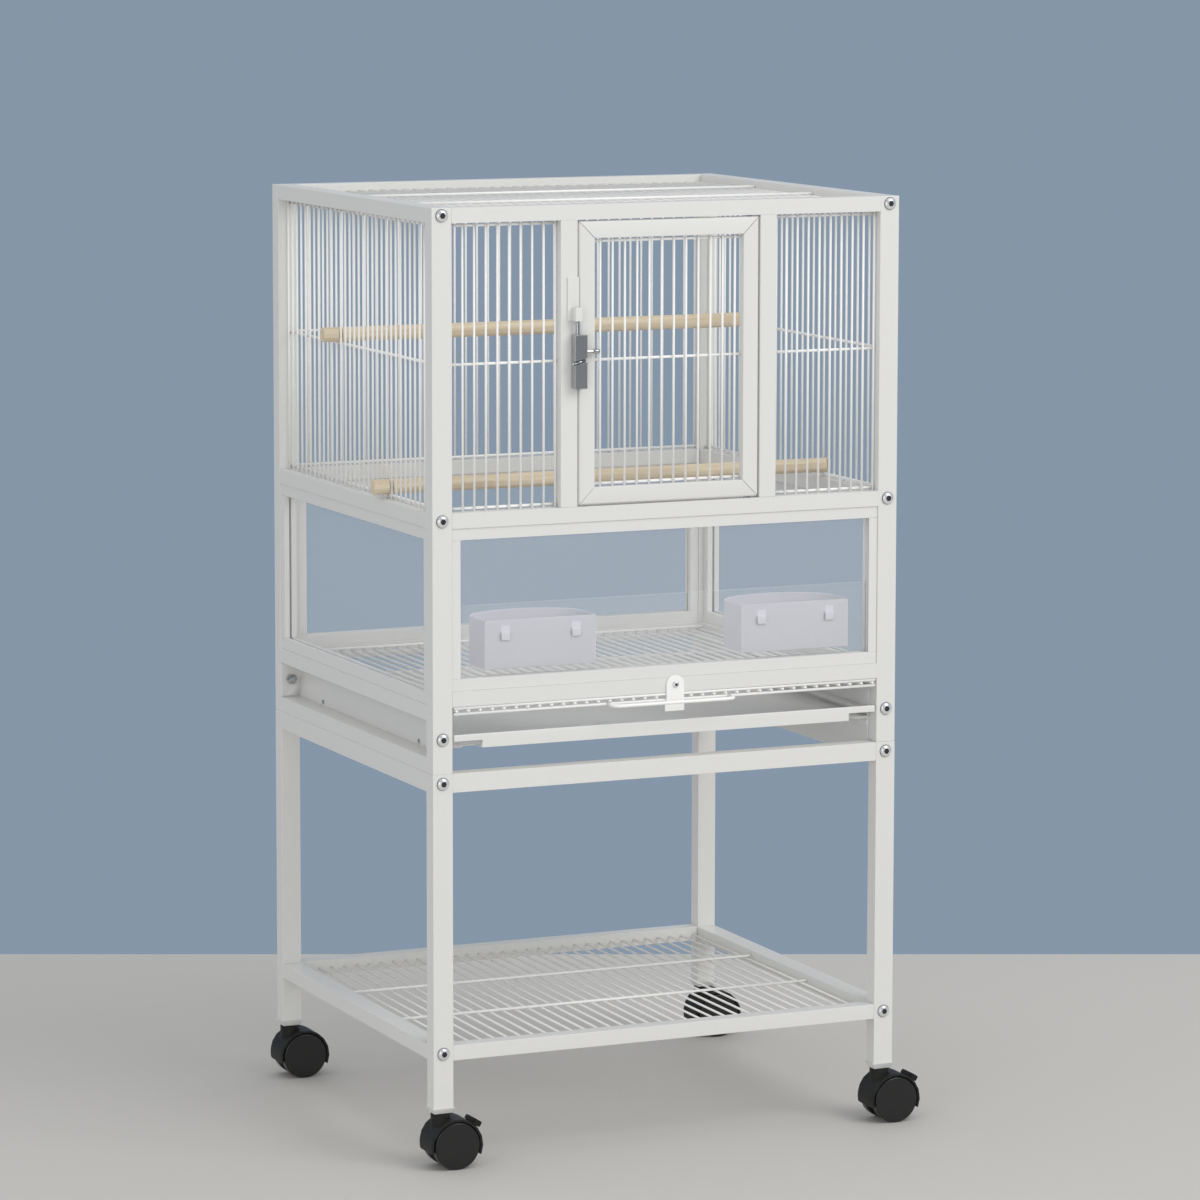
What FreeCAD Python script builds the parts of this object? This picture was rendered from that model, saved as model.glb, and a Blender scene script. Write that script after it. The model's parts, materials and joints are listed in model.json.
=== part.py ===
"""Wheeled bird cage: a wire cage with clear lower panes, a drawer deck, and an open stand on four casters.

Millimetres, +Z up. The origin is on the floor under the middle of the frame, and the door faces -Y.
"""

import FreeCAD, Part
import math
import os

Vec = FreeCAD.Vector

# Overall frame
overall_width = 534.0
overall_depth = 464.0
overall_height = 1000.0
post_width = 22.0
post_depth = 18.0
tube_wall = 1.2
rail_height = 16.0
stand_rail_height = 20.0

# Flat sides or steps that stand for a round form
screw_sides = 6
head_sides = 8
bore_sides = 12
neck_sides = 12
perch_sides = 16
wheel_sides = 24
brake_sides = 8
bowl_steps = 12
ear_steps = 8
hood_steps = 9

# Heights of the leg ends and the shelf, the stand's part of the whole height, and the rails above the stand
leg_foot_z = 64.5
shelf_rail_z = 114.0
stand_share = 0.416
lower_rail_rise = 54.5
window_rail_rise = 69.5
mid_rail_rise = 254.5

# Wire grilles
wire_size = 2.4
cross_wire_size = 3.0
front_wire_count = 10
door_wire_count = 12
side_wire_count = 33
back_wire_count = 37
roof_wire_count = 37
shelf_wire_count = 33
edge_wire_inset = 2.5
door_wire_inset = 8.0
deck_wire_inset = 6.5
rail_wire_offset = 3.2
cross_wire_share = 0.51
deck_wire_drop = 8.5
cross_wire_rows = 2

# Door
jamb_width = 19.0
door_opening = 209.0
door_gap = 1.5
door_bar = 18.0
door_thickness = 10.0
door_edge_chamfer = 2.0
mitre_gap = 0.3
hinge_inset = 11.0
hinge_pin_radius = 2.0
hinge_pin_depth = 8.0
hinge_collar_radius = 4.0
running_clearance = 0.05
bore_end_clearance = 0.5
slide_gap = 0.3
seat_gap = 0.1

# Latch
latch_drop = 25.0
latch_height = 56.0
latch_width = 13.5
latch_depth = 11.5
latch_overhang = 9.0
latch_jamb_gap = 0.6
latch_rod_radius = 2.2
latch_rod_inset = 4.5
latch_rod_stand_off = 6.3
latch_rod_tail = 10.0
latch_tip_rise = 12.5
latch_travel = 12.0
latch_arm_rise = 38.0
latch_arm_radius = 1.7
latch_arm_reach = 12.0
latch_knob_radius = 3.4
latch_knob_neck = 2.2
latch_cut_width = 4.0
latch_cut_depth = 3.0
latch_cut_angle = 14.0
keeper_gap = 1.5
keeper_loop_height = 14.0
keeper_loop_wall = 1.5
keeper_plate_height = 45.0
keeper_plate_width = 13.0
keeper_plate_thickness = 1.5
keeper_rod_clearance = 0.3

# Clear panes and the channels that hold them
pane_thickness = 2.0
channel_side = 10.0
channel_rail = 12.5
channel_depth = 14.5
channel_setback = 1.5
pane_groove_depth = 6.0
pane_clearance = 0.15
pane_setback = 2.5
guard_setback = 7.5
guard_rise = 17.5

# Feed bowls
bowl_width = 126.0
bowl_straight = 38.0
bowl_depth = 75.0
bowl_height = 51.0
bowl_gap = 6.5
bowl_wall = 2.0
bowl_left_gap = 30.0
bowl_right_gap = 20.0
tab_width = 10.0
tab_spacing = 80.0
tab_thickness = 3.0
tab_drop = 12.0
tab_height = 9.0
tab_leg = 0.8

# Perches
perch_radius = 8.0
perch_overhang = 8.0
perch_setback = 8.0
perch_notch_width = 5.0
perch_neck = 9.6
upper_perch_y = 66.0
lower_perch_y = -91.0

# Drawer deck
plate_thickness = 1.2
ledge_width = 12.0
flange_margin = 1.0
deck_bolt_rise = 36.0
runner_flange = 17.0
runner_leg = 9.0
runner_thickness = 1.5
runner_rise = 25.0
runner_screw_y = 140.0
runner_screw_drop = 5.0
runner_screw_radius = 1.5
runner_screw_head = 2.8
tray_sheet = 1.2
tray_side_gap = 0.8
tray_lip_height = 14.8
tray_lip_depth = 4.0
tray_lip_chamfer = 1.2
tray_wall_height = 11.0
tray_notch_width = 31.0
tray_notch_height = 8.0
tray_notch_depth = 16.0
tray_back_gap = 12.0

# Grate above the tray
grate_wire_size = 3.0
grate_wire_count = 37
grate_side_gap = 0.6
grate_back_gap = 12.0
handle_span = 140.0
handle_reach = 17.5
handle_wire_radius = 2.0
handle_bend_radius = 8.0
ear_radius = 9.0
ear_thickness = 2.0
ear_hole_radius = 2.2
lock_screw_x = 7.0
lock_screw_rise = 8.5
lock_screw_radius = 2.1
lock_screw_head = 3.6
lock_screw_head_height = 2.4
lock_screw_length = 9.0
lock_hole_clearance = 0.3

# Bolts through the posts and legs
bolt_radius = 3.0
bolt_head_radius = 6.3
bolt_crown_radius = 4.4
bolt_head_height = 3.4
bolt_grip = 11.0
bolt_clearance = 0.2
thread_clearance = 0.05
plug_length = 14.0
plug_clearance = 0.1
nut_across = 10.0
nut_height = 5.0
nut_crown = 3.0

# Stand fittings
spigot_length = 44.0
spigot_clearance = 0.2
socket_length = 28.0
socket_flange = 1.6
socket_flange_height = 6.0
socket_taper = 3.0

# Casters
wheel_radius = 25.0
wheel_width = 12.0
wheel_chamfer = 1.4
wheel_inner_gap = 0.7
caster_trail = 12.0
axle_radius = 3.0
hood_inner_radius = 26.2
hood_wall = 2.4
hood_half_width = 18.5
hood_low_angle = -22.0
hood_high_angle = 158.0
web_half_width = 6.5
web_low_angle = 25.0
hub_radius = 8.0
neck_radius = 10.4
neck_gap = 0.7
stem_radius = 5.0
stem_pin_radius = 4.0
stem_pin_depth = 14.0
stem_grip = 24.0
brake_angle = 40.0
brake_pivot_radius = 1.5
brake_hub_radius = 2.6
brake_half_width = 7.0
brake_length = 11.0
brake_side_gap = 0.3
lug_width = 2.6

# Places worked out from the sizes above
half_width = overall_width / 2
half_depth = overall_depth / 2
inner_x = half_width - post_width
inner_y = half_depth - post_depth
post_x = half_width - post_width / 2
post_y = half_depth - post_depth / 2
top_rail_z = overall_height - rail_height
stand_top_z = overall_height * stand_share
lower_rail_z = stand_top_z + lower_rail_rise
window_rail_z = stand_top_z + window_rail_rise
mid_rail_z = stand_top_z + mid_rail_rise
deck_bolt_z = stand_top_z + deck_bolt_rise
runner_top_z = stand_top_z + runner_rise
lock_screw_z = window_rail_z + lock_screw_rise
mid_rail_top = mid_rail_z + rail_height
lower_rail_top = lower_rail_z + rail_height
window_rail_top = window_rail_z + rail_height
shelf_rail_top = shelf_rail_z + rail_height
stand_rail_z = stand_top_z - stand_rail_height
bottom_rail_top = stand_top_z + rail_height
jamb_inner = door_opening / 2
jamb_outer = jamb_inner + jamb_width
door_half = jamb_inner - door_gap
door_low = mid_rail_top + door_gap
door_high = top_rail_z - door_gap
door_y = -half_depth
hinge_x = door_half - hinge_inset
hinge_y = door_y + door_thickness / 2
plate_x = inner_x - plate_thickness
tray_floor_z = runner_top_z + slide_gap
grate_low = window_rail_z - slide_gap - 3 * grate_wire_size
ledge_top = grate_low - slide_gap
axle_z = wheel_radius
cross_wire_z = mid_rail_top + cross_wire_share * (top_rail_z - mid_rail_top)
bowl_top_z = window_rail_top + channel_rail + bowl_gap + bowl_height
guard_top_z = bowl_top_z + guard_rise
bowl_left_x = -inner_x + channel_side + bowl_left_gap + bowl_width / 2
bowl_right_x = inner_x - channel_side - bowl_right_gap - bowl_width / 2
neck_top = leg_foot_z - socket_flange_height - neck_gap
wheel_start = web_half_width + wheel_inner_gap


def box(x0, x1, y0, y1, z0, z1):
    """A block between two corners."""
    return Part.makeBox(x1 - x0, y1 - y0, z1 - z0, Vec(x0, y0, z0))


def cylinder(radius, start, end):
    """A round bar from one point to another."""
    axis = end - start
    return Part.makeCylinder(radius, axis.Length, start, axis)


def fuse(shapes):
    """One shape out of several that touch or overlap."""
    if len(shapes) == 1:
        return shapes[0]
    return shapes[0].multiFuse(shapes[1:])


def cut(shape, tools):
    """A shape with all of the tools taken out of it."""
    for tool in tools:
        shape = shape.cut(tool)
    return shape


def group(shapes):
    """Separate solids that share one node."""
    return Part.Compound(shapes)


def turned(shape, angle):
    """A copy turned about the vertical axis."""
    copy = shape.copy()
    copy.rotate(Vec(0, 0, 0), Vec(0, 0, 1), angle)
    return copy


def moved(shape, x, y, z):
    """A copy moved by a distance along each axis."""
    copy = shape.copy()
    copy.translate(Vec(x, y, z))
    return copy


def mirrored(shape, normal):
    """A copy mirrored in a plane through the origin."""
    return shape.mirror(Vec(0, 0, 0), normal)


def outline(points):
    """A closed outline through points."""
    return Part.makePolygon(points + points[:1])


def ring(centre, axis, radius, sides, turn=0.5):
    """The corners of a regular outline round an axis, with a flat at the top, or a corner there for turn 0."""
    along = axis * (1.0 / axis.Length)
    first = Vec(1, 0, 0) if abs(along.z) > 0.5 else Vec(0, 0, 1)
    second = along.cross(first)
    points = []
    for corner in range(sides):
        angle = 2 * math.pi * (corner + turn) / sides
        points.append(centre + first * (radius * math.cos(angle)) + second * (radius * math.sin(angle)))
    return points


def sided_bar(radius, start, end, sides):
    """A bar with flat sides from one point to another, which stands for a round one."""
    axis = end - start
    return Part.Face(outline(ring(start, axis, radius, sides))).extrude(axis)


def turned_form(stations, sides, turn=0.5):
    """A form like one from a lathe, with flat sides: each station is a point on the axis and a radius."""
    axis = stations[-1][0] - stations[0][0]
    rings = [ring(point, axis, radius, sides, turn) for point, radius in stations]
    faces = [Part.Face(outline(rings[0])), Part.Face(outline(rings[-1]))]
    for low, high in zip(rings, rings[1:]):
        for corner in range(sides):
            after = (corner + 1) % sides
            faces.append(Part.Face(outline([low[corner], low[after], high[after], high[corner]])))
    return Part.Solid(Part.Shell(faces))


def running_bore(radius, start, end):
    """The room of a bore for a turning pin, with flats one running clearance away from the pin."""
    corner = (radius + running_clearance) / math.cos(math.pi / bore_sides)
    return sided_bar(corner, start, end, bore_sides)


def spread(low, high, inset, count):
    """Even places between two edges, with the outer ones one inset away from the edges."""
    step = (high - low - 2 * inset) / (count - 1)
    return [low + inset + step * index for index in range(count)]


def tube_x(x0, x1, y0, y1, z0, z1):
    """A rectangular tube that runs along X, open at both ends."""
    hollow = box(x0, x1, y0 + tube_wall, y1 - tube_wall, z0 + tube_wall, z1 - tube_wall)
    return box(x0, x1, y0, y1, z0, z1).cut(hollow)


def upright(z0, z1, bolt_heights, closed_top):
    """A post or leg at the front left corner: a tube along Z with a hole through it at each bolt."""
    x0 = -half_width
    y0 = -half_depth
    roof = tube_wall if closed_top else 0.0
    hollow = box(x0 + tube_wall, x0 + post_width - tube_wall, y0 + tube_wall, y0 + post_depth - tube_wall,
                 z0, z1 - roof)
    shape = box(x0, x0 + post_width, y0, y0 + post_depth, z0, z1).cut(hollow)
    holes = []
    for height in bolt_heights:
        holes.append(sided_bar(bolt_radius + bolt_clearance, Vec(-post_x, y0, height),
                               Vec(-post_x, y0 + post_depth, height), screw_sides))
    return cut(shape, holes)


def pair_in_x(shape):
    """A piece and its mirror image on the other side."""
    return [shape, mirrored(shape, Vec(1, 0, 0))]


def four_corners(shape):
    """A piece at the front left corner, and its images at the other three."""
    front = pair_in_x(shape)
    return front + [mirrored(piece, Vec(0, 1, 0)) for piece in front]


def front_rail(z0, height, setback=0.0):
    """A rail across the front, between the posts or the legs."""
    return tube_x(-inner_x, inner_x, -half_depth + setback, -inner_y, z0, z0 + height)


def side_rail(z0, height):
    """A rail along the left side, between the front and back posts, drawn as a front and then turned."""
    return turned(tube_x(-inner_y, inner_y, -half_width, -inner_x, z0, z0 + height), -90)


def to_side(shape, name):
    """Turns a panel that is drawn facing the front to face one of the four sides."""
    return turned(shape, {"front": 0, "left": -90, "right": 90, "back": 180}[name])


# Places of the upright wires along a side
side_wires = spread(-inner_y, inner_y, edge_wire_inset, side_wire_count)

# Bolt levels, from the middles of the side rails that the bolts hold
post_bolts = [deck_bolt_z, mid_rail_z + rail_height / 2, top_rail_z + rail_height / 2]
leg_bolts = [shelf_rail_z + rail_height / 2, stand_rail_z + stand_rail_height / 2]
plug_levels = leg_bolts + post_bolts[1:]


def make_posts():
    """The four cage posts, the front pair and the back pair."""
    post = upright(stand_top_z, overall_height, post_bolts, True)
    corners = four_corners(post)
    return {"cage_posts_front": group(corners[:2]), "cage_posts_back": group(corners[2:])}


def make_legs():
    """The four stand legs, the front pair and the back pair."""
    leg = upright(leg_foot_z, stand_top_z, leg_bolts, False)
    corners = four_corners(leg)
    return {"stand_legs_front": group(corners[:2]), "stand_legs_back": group(corners[2:])}


def hinge_hole(z0, z1):
    """The hole in the wall of a rail for the foot of a hinge pin."""
    return sided_bar(hinge_pin_radius + running_clearance, Vec(hinge_x, hinge_y, z0), Vec(hinge_x, hinge_y, z1),
                     screw_sides)


def hinge_bore(z0, z1):
    """The bore in the door that turns on a hinge pin, clear of the mitre."""
    return running_bore(hinge_pin_radius, Vec(hinge_x, hinge_y, z0), Vec(hinge_x, hinge_y, z1))


def make_front_rails():
    """The top, middle and window rails of the front, with the holes for hinge pins and the lock screw."""
    top = front_rail(top_rail_z, rail_height).cut(hinge_hole(top_rail_z, top_rail_z + tube_wall))
    middle = front_rail(mid_rail_z, rail_height).cut(hinge_hole(mid_rail_top - tube_wall, mid_rail_top))
    lock_hole = sided_bar(lock_screw_radius + lock_hole_clearance, Vec(lock_screw_x, -half_depth, lock_screw_z),
                          Vec(lock_screw_x, -half_depth + tube_wall, lock_screw_z), screw_sides)
    window = front_rail(window_rail_z, rail_height).cut(lock_hole)
    return {"front_rails": group([top, middle, window])}


def make_jambs():
    """The two uprights beside the door."""
    outer = box(jamb_inner, jamb_outer, -half_depth, -inner_y, mid_rail_top, top_rail_z)
    hollow = box(jamb_inner + tube_wall, jamb_outer - tube_wall, -half_depth + tube_wall, -inner_y - tube_wall,
                 mid_rail_top, top_rail_z)
    return {"door_jambs": group(pair_in_x(outer.cut(hollow)))}


def make_other_rails():
    """The back rails, the rails of both sides, and the rails of the stand and its shelf."""
    back = [to_side(front_rail(z, rail_height), "back") for z in (lower_rail_z, mid_rail_z, top_rail_z)]
    levels = (stand_top_z, lower_rail_z, mid_rail_z, top_rail_z)
    left = [side_rail(z, rail_height) for z in levels]
    right = [mirrored(rail, Vec(1, 0, 0)) for rail in left]
    stand_front = front_rail(stand_rail_z, stand_rail_height)
    stand = [stand_front, to_side(stand_front, "back")]
    stand += pair_in_x(side_rail(stand_rail_z, stand_rail_height))
    shelf_front = front_rail(shelf_rail_z, rail_height)
    shelf = [shelf_front, to_side(shelf_front, "back")]
    shelf += pair_in_x(side_rail(shelf_rail_z, rail_height))
    return {"back_rails": group(back), "side_rails_left": group(left), "side_rails_right": group(right),
            "stand_rails": group(stand), "shelf_rails": group(shelf)}


def wire_panel(x_places, x0, x1, z0, z1, y, row_heights):
    """Upright wires at y between two rails, and the level wires that lie behind them, as a list of bars."""
    half = wire_size / 2
    wires = [box(x - half, x + half, y - half, y + half, z0, z1) for x in x_places]
    row_y = y + half
    row_half = cross_wire_size / 2
    rows = [box(x0, x1, row_y, row_y + cross_wire_size, z - row_half, z + row_half) for z in row_heights]
    return wires + rows


def cage_rows(low, high):
    """Heights of a panel's level wires: one near each rail and one across the middle."""
    return [low + rail_wire_offset, cross_wire_z, high - rail_wire_offset]


def make_wall_grilles():
    """The upright grilles: two beside the door, one on each side and one at the back."""
    rows = cage_rows(mid_rail_top, top_rail_z)
    beside = wire_panel(spread(-inner_x, -jamb_outer, edge_wire_inset, front_wire_count), -inner_x, -jamb_outer,
                        mid_rail_top, top_rail_z, -post_y, rows)
    beside += [mirrored(bar, Vec(1, 0, 0)) for bar in beside]
    side = group(wire_panel(side_wires, -inner_y, inner_y, mid_rail_top, top_rail_z, -post_x, rows))
    back = group(wire_panel(spread(-inner_x, inner_x, edge_wire_inset, back_wire_count), -inner_x, inner_x,
                            mid_rail_top, top_rail_z, -post_y, rows))
    return {"front_grilles": group(beside), "left_grille": to_side(side, "left"),
            "right_grille": to_side(side, "right"), "back_grille": to_side(back, "back")}


def deck_grille(top_z, count):
    """A flat grille between the inner faces of four rails: wires along Y under a few cross wires."""
    half = wire_size / 2
    z = top_z - deck_wire_drop
    places = spread(-inner_x, inner_x, deck_wire_inset, count)
    bars = [box(x - half, x + half, -inner_y, inner_y, z - half, z + half) for x in places]
    row_half = cross_wire_size / 2
    for row in range(cross_wire_rows):
        y = -inner_y + 2 * inner_y * (row + 1) / (cross_wire_rows + 1)
        bars.append(box(-inner_x, inner_x, y - row_half, y + row_half, z + half, z + half + cross_wire_size))
    return group(bars)


def make_deck_grilles():
    """The roof grille and the shelf grille."""
    return {"roof_grille": deck_grille(overall_height, roof_wire_count),
            "shelf_grille": deck_grille(shelf_rail_top, shelf_wire_count)}


def door_bars():
    """The door's four bars, mitred at the corners with a hair gap where they are welded."""
    back_y = door_y + door_thickness
    frame = box(-door_half, door_half, door_y, back_y, door_low, door_high)
    rims = [edge for edge in frame.Edges if abs(edge.BoundBox.YLength) < 0.001]
    frame = frame.makeChamfer(door_edge_chamfer, rims)
    frame = frame.cut(box(-door_half + door_bar, door_half - door_bar, door_y, back_y,
                          door_low + door_bar, door_high - door_bar))
    pin_reach = hinge_pin_depth + bore_end_clearance
    bores = [hinge_bore(door_low, door_low + pin_reach), hinge_bore(door_high - pin_reach, door_high)]
    frame = cut(frame, bores)
    slit = mitre_gap / math.sqrt(2)
    reach = door_bar + door_edge_chamfer
    slits = []
    for x, turn in ((-door_half, 1), (door_half, -1)):
        for z, rise in ((door_low, 1), (door_high, -1)):
            inner_point = Vec(x + turn * reach, door_y, z + rise * reach)
            points = [Vec(x - slit, door_y, z), Vec(x + slit, door_y, z), inner_point + Vec(slit, 0, 0),
                      inner_point - Vec(slit, 0, 0)]
            slits.append(Part.Face(outline(points)).extrude(Vec(0, door_thickness, 0)))
    return cut(frame, slits)


def hinge_pin(rail_z, rise):
    """A fixed hinge pin: a foot in the wall of a rail, a collar on the rail and a round pin in the door."""
    face = Vec(hinge_x, hinge_y, rail_z)
    foot = sided_bar(hinge_pin_radius, face - Vec(0, 0, rise * tube_wall), face, screw_sides)
    collar_end = face + Vec(0, 0, rise * (door_gap - slide_gap))
    collar = sided_bar(hinge_collar_radius, face, collar_end, head_sides)
    pin = cylinder(hinge_pin_radius, collar_end, face + Vec(0, 0, rise * (door_gap + hinge_pin_depth)))
    return fuse([foot, collar, pin])


def make_door():
    """The door: its mitred frame, its grille and the two fixed pins that it turns on."""
    inner = door_half - door_bar
    low = door_low + door_bar
    high = door_high - door_bar
    grille = wire_panel(spread(-inner, inner, door_wire_inset, door_wire_count), -inner, inner, low, high,
                        door_y + door_thickness / 2, cage_rows(low, high))
    return {"door_frame": door_bars(), "door_grille": group(grille),
            "hinge_pins": group([hinge_pin(mid_rail_top, 1), hinge_pin(top_rail_z, -1)])}


def make_latch():
    """The barrel latch: a housing on the door, a sliding bolt with a knob, and a keeper loop on the jamb."""
    x0 = -door_half - latch_overhang
    x1 = x0 + latch_width
    front_y = door_y - latch_depth
    rod_x = x0 + latch_rod_inset
    rod_y = door_y - latch_rod_stand_off
    low_z = (door_low + door_high) / 2 - latch_drop
    top_z = low_z + latch_height
    arm_z = low_z + latch_arm_rise
    tip_z = top_z + latch_tip_rise
    body = box(x0, x1, front_y, door_y, low_z, top_z)
    over_jamb = box(x0, -door_half, door_y - latch_jamb_gap, door_y, low_z, top_z)
    bore = sided_bar(latch_rod_radius + running_clearance,
                     Vec(rod_x, rod_y, arm_z - latch_rod_tail - bore_end_clearance), Vec(rod_x, rod_y, top_z),
                     head_sides)
    slot_half = latch_arm_radius + slide_gap
    slot = box(rod_x, x1, rod_y - slot_half, rod_y + slot_half, arm_z - slot_half,
               arm_z + latch_travel + slot_half)
    cam_cut = box(x0 - latch_width, x1 + latch_width, front_y, front_y + latch_cut_depth,
                  -latch_cut_width / 2, latch_cut_width / 2)
    cam_cut.rotate(Vec(x0 + latch_width / 2, 0, 0), Vec(0, 1, 0), -latch_cut_angle)
    cam_cut.translate(Vec(0, 0, low_z + latch_height / 2))
    housing = cut(body, [over_jamb, bore, slot, cam_cut])

    arm_end = Vec(x1 + latch_arm_reach, rod_y, arm_z)
    rod = sided_bar(latch_rod_radius, Vec(rod_x, rod_y, arm_z - latch_rod_tail), Vec(rod_x, rod_y, tip_z),
                    head_sides)
    arm = sided_bar(latch_arm_radius, Vec(rod_x, rod_y, arm_z), arm_end, screw_sides)
    half_knob = Vec(latch_knob_radius, 0, 0)
    knob = turned_form([(arm_end - half_knob, latch_knob_neck), (arm_end, latch_knob_radius),
                        (arm_end + half_knob, latch_knob_neck)], head_sides)
    bolt = fuse([rod, arm, knob])

    loop_low = tip_z + keeper_gap
    loop_high = loop_low + keeper_loop_height
    loop_inner = latch_rod_radius + keeper_rod_clearance
    loop_outer = loop_inner + keeper_loop_wall
    plate_y = door_y - keeper_plate_thickness
    strap_y = rod_y - loop_inner
    plate_x1 = rod_x + loop_outer
    keeper = [box(plate_x1 - keeper_plate_width, plate_x1, plate_y, door_y, loop_low,
                  loop_low + keeper_plate_height),
              box(rod_x - loop_outer, rod_x - loop_inner, strap_y, plate_y, loop_low, loop_high),
              box(rod_x + loop_inner, rod_x + loop_outer, strap_y, plate_y, loop_low, loop_high),
              box(rod_x - loop_outer, rod_x + loop_outer, strap_y - keeper_loop_wall, strap_y, loop_low,
                  loop_high)]
    return {"latch_housing": housing, "latch_bolt": bolt, "latch_keeper": group(keeper)}


def channel_frame(face, half_span, low, high, grooves):
    """Four white channel bars round a window, drawn facing the front, with grooves that hold the panes.

    face is the distance of the outside of the frame from the middle, and each groove is the setback of a pane
    from that outside.
    """
    y0 = -face + channel_setback
    y1 = y0 + channel_depth
    bars = [box(-half_span, half_span, y0, y1, low, low + channel_rail),
            box(-half_span, half_span, y0, y1, high - channel_rail, high),
            box(-half_span, -half_span + channel_side, y0, y1, low + channel_rail, high - channel_rail),
            box(half_span - channel_side, half_span, y0, y1, low + channel_rail, high - channel_rail)]
    side = channel_side - pane_groove_depth
    rail = channel_rail - pane_groove_depth
    slots = [box(-half_span + side, half_span - side, -face + setback - pane_clearance,
                 -face + setback + pane_thickness + pane_clearance, low + rail, high - rail)
             for setback in grooves]
    return group([cut(bar, slots) for bar in bars])


def pane(face, half_span, low, high, setback):
    """A clear sheet that stands in the grooves of a channel."""
    side = channel_side - pane_groove_depth + pane_clearance
    return box(-half_span + side, half_span - side, -face + setback, -face + setback + pane_thickness, low, high)


def tab_places(bowl_x):
    """The middles of a bowl's two tabs across the front."""
    return [bowl_x - tab_spacing / 2, bowl_x + tab_spacing / 2]


def guard_pane(low):
    """The lower pane behind the front one, with a slot and a rebate below it for each tab of the bowls."""
    sheet = pane(half_depth, inner_x, low, guard_top_z, guard_setback)
    y0 = -half_depth + guard_setback
    z0 = bowl_top_z - tab_drop - tab_thickness - seat_gap
    half = tab_width / 2 + slide_gap
    slot_top = z0 + seat_gap + tab_height + slide_gap
    leg_low = bowl_top_z - tab_drop - tab_height - slide_gap
    cuts = []
    for x in tab_places(bowl_left_x) + tab_places(bowl_right_x):
        cuts.append(box(x - half, x + half, y0, y0 + pane_thickness, z0, slot_top))
        cuts.append(box(x - half, x + half, y0, y0 + tab_leg + slide_gap, leg_low, z0))
    return cut(sheet, cuts)


def make_windows():
    """The clear panes of all four sides, with their channels, and the lower guard pane behind the front one."""
    rail = channel_rail - pane_groove_depth
    parts = {}
    front_low = window_rail_top + rail
    top = mid_rail_z - rail - pane_clearance
    parts["front_window_channel"] = channel_frame(half_depth, inner_x, window_rail_top, mid_rail_z,
                                                  [pane_setback, guard_setback])
    parts["front_pane"] = pane(half_depth, inner_x, front_low, top, pane_setback)
    parts["front_guard_pane"] = guard_pane(front_low)
    low = lower_rail_top + rail
    for name, face, span in (("left", half_width, inner_y), ("right", half_width, inner_y),
                             ("back", half_depth, inner_x)):
        channel = channel_frame(face, span, lower_rail_top, mid_rail_z, [guard_setback])
        parts[name + "_window_channel"] = to_side(channel, name)
        parts[name + "_pane"] = to_side(pane(face, span, low, top, guard_setback), name)
    return parts


def bowl_block(inset, low, high):
    """A block of the bowl's plan: a flat front, straight sides and a round back, one inset inside the walls."""
    half = bowl_width / 2 - inset
    reach = bowl_depth - inset - bowl_straight
    points = [Vec(-half, inset, low), Vec(half, inset, low)]
    for step in range(bowl_steps + 1):
        angle = math.pi * step / bowl_steps
        points.append(Vec(half * math.cos(angle), bowl_straight + reach * math.sin(angle), low))
    return Part.Face(outline(points)).extrude(Vec(0, 0, high - low))


def feed_bowl():
    """A feed bowl with its front face at y = 0, its rim at z = 0 and two tabs that hook into the guard pane."""
    shell = bowl_block(0, -bowl_height, 0).cut(bowl_block(bowl_wall, bowl_wall - bowl_height, 0))
    reach = slide_gap + pane_thickness
    tabs = []
    for x in tab_places(0):
        x0 = x - tab_width / 2
        x1 = x + tab_width / 2
        tabs.append(box(x0, x1, -reach, 0, -tab_drop - tab_thickness, -tab_drop))
        tabs.append(box(x0, x1, -reach, -reach + tab_leg, -tab_drop - tab_height, -tab_drop))
    return fuse([shell] + tabs)


def make_bowls():
    """The two feed bowls, hung on the guard pane."""
    bowl = feed_bowl()
    y = -half_depth + guard_setback + pane_thickness + slide_gap
    return {"feed_bowl_left": moved(bowl, bowl_left_x, y, bowl_top_z),
            "feed_bowl_right": moved(bowl, bowl_right_x, y, bowl_top_z)}


def perch(wanted_y, wire_z):
    """A wooden perch that lies on a level wire of both side grilles, notched round the upright wires."""
    gaps = [(low + high) / 2 for low, high in zip(side_wires, side_wires[1:])]
    y = min(gaps, key=lambda place: abs(place - wanted_y))
    z = wire_z + cross_wire_size / 2 + seat_gap + perch_radius * math.cos(math.pi / perch_sides)
    left_end = -half_width - perch_overhang
    right_end = half_width - perch_setback
    shape = sided_bar(perch_radius, Vec(left_end, y, z), Vec(right_end, y, z), perch_sides)
    half_notch = perch_notch_width / 2
    notches = []
    for x0, x1 in ((-post_x - half_notch, -post_x + half_notch), (post_x - half_notch, right_end)):
        for side in (-1, 1):
            y0 = y + side * perch_neck / 2
            y1 = y + side * 2 * perch_radius
            notches.append(box(x0, x1, min(y0, y1), max(y0, y1), z - 2 * perch_radius, z + 2 * perch_radius))
    return cut(shape, notches)


def make_perches():
    """The two perches."""
    return {"upper_perch": perch(upper_perch_y, cross_wire_z),
            "lower_perch": perch(lower_perch_y, mid_rail_top + rail_wire_offset)}


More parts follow.
